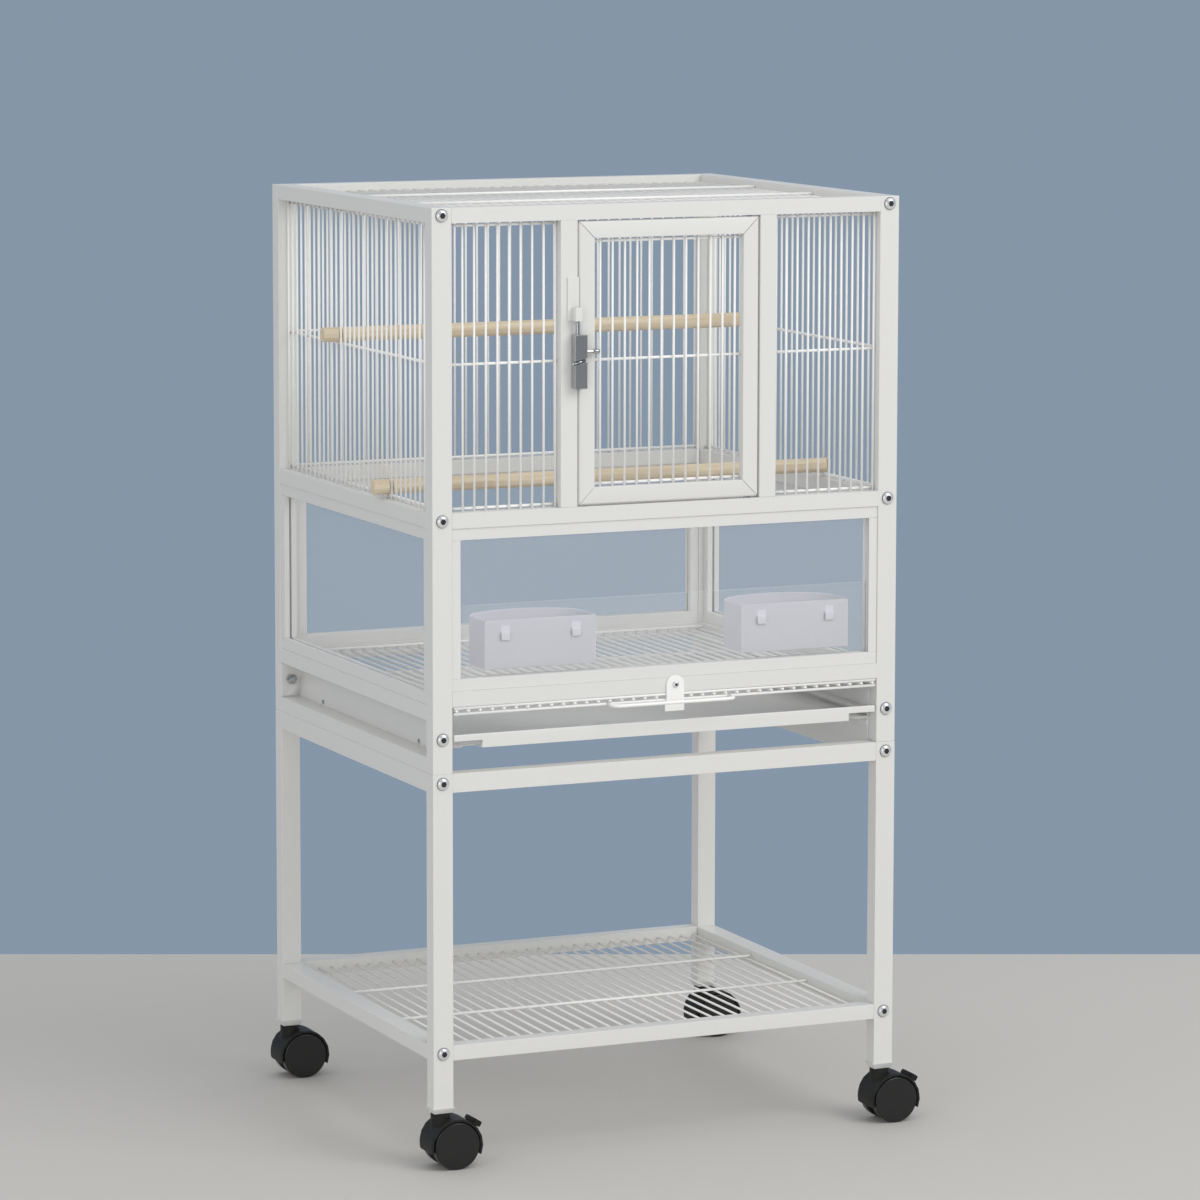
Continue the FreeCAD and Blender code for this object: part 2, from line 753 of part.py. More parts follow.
def side_plate():
    """The drawer's side, drawn as a front: a web inside the rails, a ledge for the grate and two end flanges."""
    web = box(-inner_y, inner_y, -inner_x, -plate_x, stand_top_z, ledge_top)
    ledge = box(-inner_y, inner_y, -inner_x, -plate_x + ledge_width, ledge_top - plate_thickness, ledge_top)
    shape = fuse([web, ledge])
    low = bottom_rail_top + flange_margin
    high = lower_rail_z - flange_margin
    for x0, x1 in ((-inner_y, -inner_y + plate_thickness), (inner_y - plate_thickness, inner_y)):
        flange = box(x0, x1, -half_width + flange_margin, -inner_x, low, high)
        flange = flange.cut(sided_bar(bolt_radius + bolt_clearance, Vec(x0, -post_x, deck_bolt_z),
                                      Vec(x1, -post_x, deck_bolt_z), screw_sides))
        shape = shape.fuse(flange)
    holes = [screw_hole(y) for y in (-runner_screw_y, runner_screw_y)]
    return cut(shape, holes)


def screw_hole(place):
    """The hole of a runner screw through the web and the runner, on the drawing of a side plate."""
    z = runner_top_z - runner_screw_drop
    return sided_bar(runner_screw_radius + thread_clearance, Vec(place, -inner_x, z),
                     Vec(place, -plate_x + runner_thickness, z), screw_sides)


def runner_screw(place):
    """A short dome screw from outside the web into the runner, on the drawing of a side plate."""
    start = Vec(place, -inner_x, runner_top_z - runner_screw_drop)
    crown = start - Vec(0, runner_screw_radius, 0)
    head = turned_form([(start, runner_screw_head), (crown, runner_screw_radius)],
                       head_sides)
    end = start + Vec(0, plate_thickness + runner_thickness, 0)
    shank = sided_bar(runner_screw_radius, start, end, screw_sides)
    return head.fuse(shank)


def tray_runner():
    """An angle that carries the tray, drawn as a front against the web of a side plate."""
    leg = box(-inner_y, inner_y, -plate_x, -plate_x + runner_thickness, runner_top_z - runner_leg, runner_top_z)
    flange = box(-inner_y, inner_y, -plate_x, -plate_x + runner_flange, runner_top_z - runner_thickness,
                 runner_top_z)
    holes = [screw_hole(y) for y in (-runner_screw_y, runner_screw_y)]
    return cut(fuse([leg, flange]), holes)


def make_drawer_deck():
    """The side plates, the runners with their screws, and the sliding tray."""
    plate = side_plate()
    runner = tray_runner()
    screws = [runner_screw(y) for y in (-runner_screw_y, runner_screw_y)]
    parts = {}
    for name in ("left", "right"):
        parts["side_plate_" + name] = to_side(plate, name)
    parts["tray_runners"] = group([to_side(runner, name) for name in ("left", "right")])
    parts["runner_screws"] = group([to_side(screw, name) for name in ("left", "right") for screw in screws])
    parts["tray"] = dirt_tray()
    return parts


def dirt_tray():
    """The sheet tray: a floor, low side and back walls, and an eased front lip notched at both ends."""
    half = plate_x - tray_side_gap
    y0 = -half_depth
    y1 = inner_y - tray_back_gap
    z = tray_floor_z
    floor = box(-half, half, y0, y1, z, z + tray_sheet)
    walls = [box(-half, -half + tray_sheet, y0, y1, z, z + tray_wall_height),
             box(half - tray_sheet, half, y0, y1, z, z + tray_wall_height),
             box(-half, half, y1 - tray_sheet, y1, z, z + tray_wall_height)]
    lip = box(-half, half, y0, y0 + tray_lip_depth, z, z + tray_lip_height)
    top_edges = [edge for edge in lip.Edges
                 if edge.BoundBox.XLength > half and edge.BoundBox.ZMin > z + tray_lip_height / 2]
    lip = lip.makeChamfer(tray_lip_chamfer, top_edges)
    notch = box(half - tray_notch_width, half, y0, y0 + tray_notch_depth, z, z + tray_notch_height)
    return cut(fuse([floor, lip] + walls), pair_in_x(notch))


def grate_handle(y, z):
    """The pull handle: a bent wire that leaves the grate's front, with a round bend at each corner."""
    half = handle_span / 2
    bend = handle_bend_radius
    far = y - handle_reach
    corner = bend * (1 - math.sqrt(0.5))
    start = Vec(-half, y, z)
    left_bend = Part.Arc(Vec(-half, far + bend, z), Vec(-half + corner, far + corner, z),
                         Vec(-half + bend, far, z))
    right_bend = Part.Arc(Vec(half - bend, far, z), Vec(half - corner, far + corner, z),
                          Vec(half, far + bend, z))
    path = Part.Wire([Part.makeLine(start, Vec(-half, far + bend, z)), left_bend.toShape(),
                      Part.makeLine(Vec(-half + bend, far, z), Vec(half - bend, far, z)), right_bend.toShape(),
                      Part.makeLine(Vec(half, far + bend, z), Vec(half, y, z))])
    section = outline(ring(start, Vec(0, -1, 0), handle_wire_radius, screw_sides))
    return path.makePipeShell([section], True, False)


def lock_ear(y):
    """The ear that rises from the grate's front, with a round top and a hole for the lock screw."""
    middle = Vec(lock_screw_x, y, lock_screw_z)
    points = [Vec(lock_screw_x - ear_radius, y, grate_low), Vec(lock_screw_x + ear_radius, y, grate_low)]
    for step in range(ear_steps + 1):
        angle = math.pi * step / ear_steps
        points.append(middle + Vec(ear_radius * math.cos(angle), 0, ear_radius * math.sin(angle)))
    plate = Part.Face(outline(points)).extrude(Vec(0, -ear_thickness, 0))
    return plate.cut(sided_bar(ear_hole_radius, middle - Vec(0, ear_thickness, 0), middle, screw_sides))


def make_grate():
    """The wire grate that slides out over the tray, with its pull handle, its lock ear and the lock screw."""
    size = grate_wire_size
    half = plate_x - grate_side_gap
    front = -half_depth - slide_gap
    back = inner_y - grate_back_gap
    mid_z = grate_low + size
    top_z = mid_z + size
    bars = [box(x - size / 2, x + size / 2, front, back, mid_z, top_z)
            for x in spread(-half, half, size, grate_wire_count)]
    for y in spread(front, back - size, 0, cross_wire_rows + 2):
        bars.append(box(-half, half, y, y + size, grate_low, mid_z))
    for y in (front, back - size):
        bars.append(box(-half, half, y, y + size, top_z, top_z + size))
    handle = grate_handle(front, grate_low + size / 2)

    start = Vec(lock_screw_x, front - ear_thickness, lock_screw_z)
    crown = start - Vec(0, lock_screw_head_height, 0)
    head = turned_form([(start, lock_screw_head), (crown, lock_screw_radius)],
                       head_sides)
    shank = sided_bar(lock_screw_radius, start, start + Vec(0, lock_screw_length, 0), screw_sides)
    return {"grate": group(bars + [handle, lock_ear(front)]), "grate_lock_screw": head.fuse(shank)}


def post_bolt(height, length):
    """A dome-headed bolt through the front left post, with its head outside."""
    start = Vec(-post_x, -half_depth, height)
    head = turned_form([(start, bolt_head_radius), (start - Vec(0, bolt_head_height, 0), bolt_crown_radius)],
                       head_sides)
    shank = sided_bar(bolt_radius, start, start + Vec(0, length, 0), screw_sides)
    return head.fuse(shank)


def end_plug(height, rail_tall):
    """The threaded plug in the front end of a left side rail."""
    inside = tube_wall + plug_clearance
    block = box(-half_width + inside, -inner_x - inside, -inner_y, -inner_y + plug_length,
                height - rail_tall / 2 + inside, height + rail_tall / 2 - inside)
    return block.cut(sided_bar(bolt_radius + thread_clearance, Vec(-post_x, -inner_y, height),
                               Vec(-post_x, -inner_y + plug_length, height), screw_sides))


def cap_nut():
    """The closed nut behind the end flange of a side plate, on the front left bolt."""
    start = Vec(-post_x, -inner_y + plate_thickness, deck_bolt_z)
    end = start + Vec(0, nut_height, 0)
    corner = nut_across / math.sqrt(3)
    body = turned_form([(start, corner), (end, corner), (end + Vec(0, nut_crown, 0), nut_crown)], screw_sides)
    return body.cut(sided_bar(bolt_radius + thread_clearance, start, end, screw_sides))


def make_fasteners():
    """All the bolts, the threaded plugs in the rail ends and the closed nuts."""
    rail_length = post_depth + bolt_grip
    deck_length = post_depth + plate_thickness + nut_height - bore_end_clearance
    bolts = four_corners(post_bolt(deck_bolt_z, deck_length))
    plugs = []
    for height in plug_levels:
        tall = stand_rail_height if height == leg_bolts[1] else rail_height
        bolts += four_corners(post_bolt(height, rail_length))
        plugs += four_corners(end_plug(height, tall))
    nuts = group(four_corners(cap_nut()))
    return {"frame_bolts": group(bolts), "rail_end_plugs": group(plugs), "cap_nuts": nuts}


def stand_fittings():
    """The spigots that join posts to legs, the sockets in the leg ends and the caster stems, at one corner."""
    inside = tube_wall + spigot_clearance
    spigot = box(-half_width + inside, -inner_x - inside, -half_depth + inside, -inner_y - inside,
                 stand_top_z - spigot_length / 2, stand_top_z + spigot_length / 2)
    spigot = spigot.cut(sided_bar(bolt_radius + bolt_clearance, Vec(-post_x, -half_depth, leg_bolts[1]),
                                  Vec(-post_x, -inner_y, leg_bolts[1]), screw_sides))
    plug = box(-half_width + inside, -inner_x - inside, -half_depth + inside, -inner_y - inside,
               leg_foot_z, leg_foot_z + socket_length)
    half_x = post_width / 2 + socket_flange
    half_y = post_depth / 2 + socket_flange
    outlines = []
    for z, shrink in ((leg_foot_z, 0.0), (leg_foot_z - socket_flange_height, socket_taper)):
        rim_x = half_x - shrink
        rim_y = half_y - shrink
        corners = [Vec(-post_x + sx * rim_x, -post_y + sy * rim_y, z)
                   for sx, sy in ((-1, -1), (1, -1), (1, 1), (-1, 1))]
        outlines.append(outline(corners))
    flange = Part.makeLoft(outlines, True, True)
    axis_low = Vec(-post_x, -post_y, leg_foot_z - socket_flange_height)
    axis_high = axis_low + Vec(0, 0, stem_grip)
    socket = plug.fuse(flange).cut(sided_bar(stem_radius + thread_clearance, axis_low, axis_high, head_sides))
    pin_low = Vec(-post_x, -post_y, neck_top - stem_pin_depth + bore_end_clearance)
    stem = sided_bar(stem_radius, axis_low, axis_high, head_sides)
    stem = stem.fuse(cylinder(stem_pin_radius, pin_low, axis_low))
    return spigot, socket, stem


def make_stand_fittings():
    """The stand's hidden fittings at all four corners."""
    spigot, socket, stem = stand_fittings()
    return {"post_spigots": group(four_corners(spigot)), "leg_sockets": group(four_corners(socket)),
            "caster_stems": group(four_corners(stem))}


def polar(radius, angle, y=0.0):
    """A point at a radius and an angle round the axle, which runs along Y through the origin."""
    turn = math.radians(angle)
    return Vec(radius * math.cos(turn), y, radius * math.sin(turn))


def arc_points(radius, from_angle, to_angle, y):
    """Points on an arc round the axle, enough for a smooth moulding."""
    turn = (to_angle - from_angle) / hood_steps
    return [polar(radius, from_angle + turn * step, y) for step in range(hood_steps + 1)]


def ring_sector(inner, outer, low_angle, high_angle, half_thickness):
    """A curved plate round the axle between two radii and two angles."""
    y = -half_thickness
    points = arc_points(outer, low_angle, high_angle, y) + arc_points(inner, high_angle, low_angle, y)
    return Part.Face(outline(points)).extrude(Vec(0, 2 * half_thickness, 0))


def cross_bar(radius, centre, y0, y1):
    """A round bar along Y through a point."""
    return cylinder(radius, Vec(centre.x, y0, centre.z), Vec(centre.x, y1, centre.z))


brake_pivot = polar(hood_inner_radius + hood_wall + slide_gap + brake_hub_radius, brake_angle)


def wheel_space(side):
    """The room under the fender on one side of the web, where a wheel turns."""
    y = side * web_half_width
    points = [Vec(0, y, 0)] + arc_points(hood_inner_radius, hood_low_angle, hood_high_angle, y)
    return Part.Face(outline(points)).extrude(Vec(0, side * hood_half_width, 0))


def caster_hood(with_brake):
    """The caster's moulded hood round the axle: a fender, a middle web, an axle hub and the swivel neck."""
    outer = hood_inner_radius + hood_wall
    fender = ring_sector(hood_inner_radius, outer, hood_low_angle, hood_high_angle, hood_half_width)
    web = ring_sector(hub_radius / 2, hood_inner_radius + hood_wall / 2, web_low_angle, hood_high_angle,
                      web_half_width)
    hub = sided_bar(hub_radius, Vec(0, -web_half_width, 0), Vec(0, web_half_width, 0), head_sides)
    neck_high = neck_top - axle_z
    neck = sided_bar(neck_radius, Vec(-caster_trail, 0, polar(outer, hood_high_angle).z),
                     Vec(-caster_trail, 0, neck_high), neck_sides)
    neck = cut(neck, [wheel_space(-1), wheel_space(1)])
    hood = fuse([fender, web, hub, neck])
    if with_brake:
        hood = fuse([hood] + brake_lugs())
    axle_bore = running_bore(axle_radius, Vec(0, -web_half_width, 0), Vec(0, web_half_width, 0))
    stem_bore = running_bore(stem_pin_radius, Vec(-caster_trail, 0, neck_high - stem_pin_depth),
                             Vec(-caster_trail, 0, neck_high))
    return cut(hood, [axle_bore, stem_bore])


def brake_lugs():
    """The two lugs on a braked hood, and the pin between them that the lever turns on."""
    reach = brake_half_width + brake_side_gap
    pieces = []
    for side in (-1, 1):
        y0 = side * reach
        y1 = y0 + side * lug_width
        lug = box(hood_inner_radius + hood_wall / 2, brake_pivot.Length + brake_hub_radius, min(y0, y1),
                  max(y0, y1),
                  -brake_hub_radius, brake_hub_radius)
        lug.rotate(Vec(0, 0, 0), Vec(0, 1, 0), -brake_angle)
        pieces.append(lug)
    return pieces + [cross_bar(brake_pivot_radius, brake_pivot, -reach, reach)]


def brake_lever():
    """The brake lever: a hub that turns on the hood's pin, and a tab that points outwards from the axle."""
    middle = brake_pivot.Length
    half = brake_half_width
    flat = brake_hub_radius * math.cos(math.pi / brake_sides)
    hub = sided_bar(brake_hub_radius, Vec(middle, -half, 0), Vec(middle, half, 0), brake_sides)
    tab = box(middle, middle + brake_length, -half, half, -flat, flat)
    lever = hub.fuse(tab).cut(running_bore(brake_pivot_radius, Vec(middle, -half, 0), Vec(middle, half, 0)))
    lever.rotate(Vec(0, 0, 0), Vec(0, 1, 0), -brake_angle)
    return lever


def twin_wheels():
    """A pair of wheels pressed on one axle: two discs, chamfered outside, and the axle between them."""
    end = wheel_start + wheel_width
    disc = turned_form([(Vec(0, wheel_start, 0), wheel_radius), (Vec(0, end - wheel_chamfer, 0), wheel_radius),
                        (Vec(0, end, 0), wheel_radius - wheel_chamfer)], wheel_sides, 0)
    axle = cross_bar(axle_radius, Vec(0, 0, 0), -wheel_start, wheel_start)
    return group([disc, mirrored(disc, Vec(0, 1, 0)), axle])


def make_casters():
    """Four casters, all trailing to the right, with brakes on the front two."""
    parts = {}
    for end, y in (("front", -post_y), ("back", post_y)):
        for side, x in (("left", -post_x), ("right", post_x)):
            name = end + "_" + side
            place = (x + caster_trail, y, axle_z)
            parts["caster_hood_" + name] = moved(caster_hood(end == "front"), *place)
            parts["caster_wheels_" + name] = moved(twin_wheels(), *place)
            if end == "front":
                parts["caster_brake_" + name] = moved(brake_lever(), *place)
    return parts


def main():
    """Builds every piece and writes one file for each node."""
    os.makedirs("parts", exist_ok=True)
    makers = (make_posts, make_legs, make_front_rails, make_jambs, make_other_rails, make_wall_grilles,
              make_deck_grilles, make_door, make_latch, make_windows, make_bowls, make_perches, make_drawer_deck,
              make_grate, make_fasteners, make_stand_fittings, make_casters)
    for maker in makers:
        for name, shape in maker().items():
            shape.exportStep("parts/" + name + ".step")


main()
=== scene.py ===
"""Looks of a wheeled bird cage: round wires, soft-edged tubes, domed bolts, smooth casters and every finish."""

import json
import math

import bmesh
import bpy
import numpy as np
from bpy.props import FloatProperty, FloatVectorProperty, IntProperty, PointerProperty
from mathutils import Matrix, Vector


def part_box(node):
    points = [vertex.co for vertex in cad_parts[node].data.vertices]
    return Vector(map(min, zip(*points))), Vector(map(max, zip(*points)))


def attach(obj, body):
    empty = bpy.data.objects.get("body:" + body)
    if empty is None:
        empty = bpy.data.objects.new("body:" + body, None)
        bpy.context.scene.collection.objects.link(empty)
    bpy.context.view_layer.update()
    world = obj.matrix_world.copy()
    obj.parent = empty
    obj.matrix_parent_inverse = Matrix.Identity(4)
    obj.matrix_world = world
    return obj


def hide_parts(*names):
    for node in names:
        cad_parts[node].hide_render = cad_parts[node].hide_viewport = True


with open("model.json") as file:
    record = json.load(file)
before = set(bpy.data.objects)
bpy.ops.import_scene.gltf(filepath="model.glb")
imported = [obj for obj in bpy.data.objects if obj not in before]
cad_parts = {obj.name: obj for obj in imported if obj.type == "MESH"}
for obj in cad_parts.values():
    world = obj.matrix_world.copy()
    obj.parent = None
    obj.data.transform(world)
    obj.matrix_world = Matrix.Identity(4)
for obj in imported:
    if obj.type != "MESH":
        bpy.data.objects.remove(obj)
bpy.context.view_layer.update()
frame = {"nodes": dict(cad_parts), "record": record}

bl_info = {
    "name": "Wheeled Bird Cage",
    "version": (1, 1, 0),
    "blender": (4, 5, 0),
    "location": "View3D > Sidebar > Bird Cage",
    "description": "Dresses the cage's frame with wires, bolts, wheels and finishes",
    "category": "Object",
}

X, Y, Z = 0, 1, 2
SHARP_BEND = math.radians(50.0)
FLAT_BEND = math.radians(1.0)
CREASE = math.radians(40.0)
MERGE = 1e-6
TOUCH = 1e-4
BUMP_DEPTH = 0.0002
CORNERS = ("front_left", "front_right", "back_left", "back_right")
BODIES = frame["record"]["behaviour"]["bodies"]
JOINTS = frame["record"]["behaviour"]["joints"]


def size(label, default, words):
    """A length in metres that a user may change."""
    return FloatProperty(name=label, description=words, default=default, min=0.0, unit="LENGTH")


def count(label, default, words):
    """A number of like things that a user may change."""
    return IntProperty(name=label, description=words, default=default, min=2)


def share(label, default, words):
    """A part of a whole that a user may change."""
    return FloatProperty(name=label, description=words, default=default, min=0.0, max=1.0)


def degrees(label, default, words):
    """An angle that a user may change."""
    return FloatProperty(name=label, description=words, default=math.radians(default), subtype="ANGLE")


def watts(label, default, words):
    """A lamp's power that a user may change."""
    return FloatProperty(name=label, description=words, default=default, min=0.0, unit="POWER")


def point(label, default, words):
    """A point in metres that a user may change."""
    return FloatVectorProperty(name=label, description=words, default=default, size=3, unit="LENGTH")


def colour(label, default, words):
    """A linear colour that a user may change."""
    return FloatVectorProperty(name=label, description=words, default=default, size=3, min=0.0, max=1.0,
                               subtype="COLOR")


class CageSizes(bpy.types.PropertyGroup):
    """Sizes of the pieces that are drawn here."""

    wire: size("Wire", 0.0024, "Thickness of an upright wire")
    cross_wire: size("Cross wire", 0.0030, "Thickness of a level wire")
    front_wires: count("Front wires", 10, "Upright wires in each panel beside the door")
    door_wires: count("Door wires", 12, "Upright wires in the door")
    side_wires: count("Side wires", 33, "Upright wires in each side")
    back_wires: count("Back wires", 37, "Upright wires in the back")
    roof_wires: count("Roof wires", 37, "Wires along the roof")
    shelf_wires: count("Shelf wires", 33, "Wires along the shelf")
    grate_wires: count("Grate wires", 37, "Wires along the grate")
    grate_rows: count("Grate rows", 4, "Wires across the grate, under the others")
    edge_inset: size("Edge inset", 0.0025, "Distance of a wall's first wire from the post")
    door_inset: size("Door inset", 0.0080, "Distance of the door's first wire from its bar")
    deck_inset: size("Deck inset", 0.0065, "Distance of the first roof or shelf wire from the rail")
    rail_offset: size("Rail offset", 0.0032, "Distance of a level wire from the rail beside it")
    cross_share: share("Cross share", 0.51, "Height of the middle level wire, as a part of the wall")
    tube_edge: size("Tube edge", 0.0012, "Rounding along the edges of the tubes")
    sheet_edge: size("Sheet edge", 0.0004, "Rounding along the edges of sheet and small pieces")
    grate_gap: size("Grate gap", 0.0003, "Clearance above the ledge and in front of the rail")
    handle_wire: size("Handle wire", 0.0038, "Thickness of the pull handle")
    handle_span: size("Handle span", 0.1400, "Width of the pull handle")
    handle_reach: size("Handle reach", 0.0175, "How far the pull handle stands out")
    handle_bend: size("Handle bend", 0.0080, "Radius of the pull handle's bends")
    ear_radius: size("Ear radius", 0.0100, "Half width of the grate's lock ear")
    ear_thickness: size("Ear thickness", 0.0020, "Thickness of the grate's lock ear")
    stop_width: size("Stop width", 0.0220, "Width of the small plate under the lock ear")
    stop_height: size("Stop height", 0.0105, "Height of the small plate under the lock ear")
    bolt_head: size("Bolt head", 0.0126, "Width of a bolt's domed head")
    bolt_rise: size("Bolt rise", 0.0032, "Height of a bolt's domed head")
    bolt_socket: size("Bolt socket", 0.0056, "Width across the flats of the socket in a bolt's head")
    rim_share: share("Rim share", 0.25, "Height of the straight rim under a bolt's dome, as a part of the head")
    socket_share: share("Socket share", 0.7, "Depth of a bolt's socket, as a part of the head")
    # Painted shadow: a dark ring under each bolt's head, showing just past its rim, stands in for the contact shadow
    # round the head.
    shadow_ring: size("Shadow ring", 0.0004, "Thickness and showing edge of the dark washer under a bolt's head")
    bolt_shank: size("Bolt shank", 0.0054, "Thickness of a bolt")
    lock_head: size("Lock screw head", 0.0072, "Width of the lock screw's head")
    lock_rise: size("Lock screw rise", 0.0022, "Height of the lock screw's head")
    lock_socket: size("Lock screw socket", 0.0030, "Width across the flats of the lock screw's socket")
    catch_bar: size("Catch bar", 0.0026, "Thickness of the small bar in the latch's groove")
    catch_ball: size("Catch ball", 0.00416, "Width of the ball at the end of the small bar")
    catch_sink: share("Catch sink", 0.45, "Depth of the small bar's middle in the groove, as a part of its thickness")
    catch_angle: degrees("Catch angle", 14.0, "Slope of the groove in the latch's housing")
    wheel_gap: size("Wheel gap", 0.0072, "Distance of a wheel's inner face from the middle of its caster")
    wheel_round: size("Wheel round", 0.0018, "Radius of a wheel's edge")
    hood_radius: size("Hood radius", 0.0274, "Distance of the middle of a caster hood's wall from the axle")
    hood_wall: size("Hood wall", 0.0024, "Thickness of a caster hood's wall")
    brake_length: size("Brake length", 0.0140, "Length of a brake lever")
    brake_thickness: size("Brake thickness", 0.0064, "Thickness of a brake lever")
    brake_lift: share("Brake lift", 0.16, "Height of a lever's middle over its pin, as a part of its thickness")
    brake_bore: size("Brake bore", 0.0034, "Width of the bore for a brake lever's pin")
    brake_gap: size("Brake gap", 0.0006, "Clearance between a brake lever and the hood")
    brake_slope: degrees("Brake slope", 31.0, "Slope of a brake lever at rest")
    axle: size("Axle", 0.0058, "Thickness of a caster's axle")
    perch_notch: size("Perch notch", 0.0050, "Width of the notches near a perch's ends")
    perch_neck: size("Perch neck", 0.0096, "Thickness of a perch between its notches")
    wire_sides: count("Wire sides", 10, "Faces round a wire")
    round_sides: count("Round sides", 48, "Faces round a wheel, a perch or a bolt")


class CageColours(bpy.types.PropertyGroup):
    """Colours of the finishes."""

    coat: colour("Powder coat", (0.76, 0.76, 0.745), "White powder coat of the tubes")
    wire: colour("Wire coat", (0.95, 0.95, 0.94), "White coat of the wires")
    moulding: colour("White moulding", (0.76, 0.76, 0.75), "Channels and leg sockets")
    bowl: colour("Bowl", (0.72, 0.72, 0.80), "Milky plastic of the bowls")
    wood: colour("Wood", (0.78, 0.68, 0.52), "Bare wood of the perches")
    grain: colour("Grain", (0.66, 0.53, 0.37), "Darker grain of the perches")
    zinc: colour("Zinc", (0.50, 0.50, 0.50), "Bright plate of the latch, nuts and small screws")
    bolt: colour("Bolt", (0.80, 0.80, 0.80), "Frosted plate of the bolts and the lock screw")
    # Painted shade: this dark colour, on the plugs in the bolts' sockets and the rings under their heads, stands in
    # for the shade there.
    socket: colour("Socket", (0.05, 0.05, 0.055), "Dark inside of a bolt's socket")
    caster: colour("Caster", (0.024, 0.0235, 0.0225), "Black moulding of the casters")
    wheel: colour("Wheel", (0.014, 0.014, 0.014), "Smooth black moulding of the wheels")
    acrylic: colour("Acrylic", (0.90, 0.93, 0.95), "Tint of the clear panes")
    floor: colour("Floor", (0.60, 0.585, 0.56), "Plain floor")
    backdrop: colour("Backdrop", (0.235, 0.305, 0.39), "Plain backdrop behind the cage")
    key: colour("Key", (1.0, 0.985, 0.96), "Light of the main lamp")
    top: colour("Top", (1.0, 1.0, 1.0), "Light of the lamp overhead")
    fill: colour("Fill", (0.97, 0.99, 1.0), "Light of the second lamp")


class StageSettings(bpy.types.PropertyGroup):
    """Where the camera and the lamps stand."""

    camera: point("Camera", (-2.1891, -4.9500, 1.3180), "Place of the camera")
    yaw: degrees("Yaw", 23.419, "Turn of the camera to the right of straight ahead")
    pitch: degrees("Pitch", -6.946, "Tilt of the camera above level")
    lens: FloatProperty(name="Lens", description="Focal length", default=150.54, unit="CAMERA")
    shift_x: FloatProperty(name="Shift X", description="Sideways shift of the picture", default=0.049)
    shift_y: FloatProperty(name="Shift Y", description="Upward shift of the picture", default=-0.08)
    floor_behind: size("Floor behind", 0.75, "How far the floor goes on behind the cage")
    floor_reach: size("Floor reach", 9.0, "How far the floor goes on in front and beside the cage")
    lamp_target: point("Lamp target", (0.0, 0.0, 0.5), "Point that the lamps are aimed at")
    key_place: point("Key place", (1.6, -2.9, 3.0), "Place of the main lamp")
    key_power: watts("Key power", 56.0, "Power of the main lamp")
    key_width: size("Key width", 2.2, "Width of the main lamp")
    top_place: point("Top place", (-0.3, -0.4, 3.4), "Place of the lamp overhead")
    top_power: watts("Top power", 9.0, "Power of the lamp overhead")
    top_width: size("Top width", 2.4, "Width of the lamp overhead")
    fill_place: point("Fill place", (-2.7, -3.3, 0.95), "Place of the second lamp")
    fill_power: watts("Fill power", 30.0, "Power of the second lamp")
    fill_width: size("Fill width", 2.4, "Width of the second lamp")
    sky: FloatProperty(name="Sky", description="Strength of the light from all round", default=0.66)


def unit(vectors):
    """Vectors scaled to a length of one."""
    return vectors / np.linalg.norm(vectors, axis=-1, keepdims=True)


def box_of(node):
    """The low and high corners of a node."""
    return tuple(np.array(corner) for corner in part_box(node))


def middle_of(node):
    """The middle of a node's box."""
    return sum(box_of(node)) / 2


def put_mesh(name, points, faces, smooth=True):
    """A new mesh object at the origin, from points and faces already in place."""
    mesh = bpy.data.meshes.new(name)
    mesh.from_pydata(points.tolist(), [], faces)
    mesh.validate()
    if smooth:
        mesh.shade_smooth()
    piece = bpy.data.objects.new(name, mesh)
    bpy.context.scene.collection.objects.link(piece)
    return piece


def grid_faces(rows, columns, start=0, ring=False):
    """Quads of a grid that is closed round its columns, and open along its rows unless they make a ring."""
    row = np.arange(rows if ring else rows - 1)[:, None]
    below = (row + 1) % rows
    column = np.arange(columns)[None, :]
    after = (column + 1) % columns
    corners = [row * columns + column, row * columns + after, below * columns + after, below * columns + column]
    quads = np.stack(np.broadcast_arrays(*corners), -1).reshape(-1, 4) + start
    return quads.tolist()


def join_surfaces(surfaces):
    """Several closed grids as one set of points and faces.

    Each surface is an array of rows, columns and coordinates. Quads run between its rows, and a flat face closes
    its first and its last row.
    """
    points = []
    faces = []
    start = 0
    for surface in surfaces:
        rows, columns = surface.shape[:2]
        faces += grid_faces(rows, columns, start)
        faces.append((start + np.arange(columns)[::-1]).tolist())
        faces.append((start + (rows - 1) * columns + np.arange(columns)).tolist())
        points.append(surface.reshape(-1, 3))
        start += rows * columns
    return np.concatenate(points), faces


def across(axis):
    """Two directions that make a right-handed set with an axis."""
    helper = np.where(np.abs(axis[Z]) < 0.9, [0.0, 0.0, 1.0], [1.0, 0.0, 0.0])
    first = unit(np.cross(helper, axis))
    return first, np.cross(axis, first)


def circle(sides):
    """Even angles round a full turn."""
    return np.linspace(0.0, 2 * np.pi, sides, endpoint=False)


def straight_wire(start, end, diameter, sides):
    """A round wire: a circle carried from start to end, point = centre + r (u cos t + v sin t)."""
    start = np.asarray(start, float)
    end = np.asarray(end, float)
    first, second = across(unit(end - start))
    turn = circle(sides)
    ring = diameter / 2 * (np.cos(turn)[:, None] * first + np.sin(turn)[:, None] * second)
    return np.stack([start + ring, end + ring])


def turned_form(profile, base, axis, sides):
    """A surface of revolution: profile rows are (distance along the axis, radius), turned round the axis."""
    axis = np.asarray(axis, float)
    first, second = across(axis)
    turn = circle(sides)
    ring = np.cos(turn)[:, None] * first + np.sin(turn)[:, None] * second
    along = profile[:, 0][:, None, None] * axis
    return np.asarray(base, float) + along + profile[:, 1][:, None, None] * ring


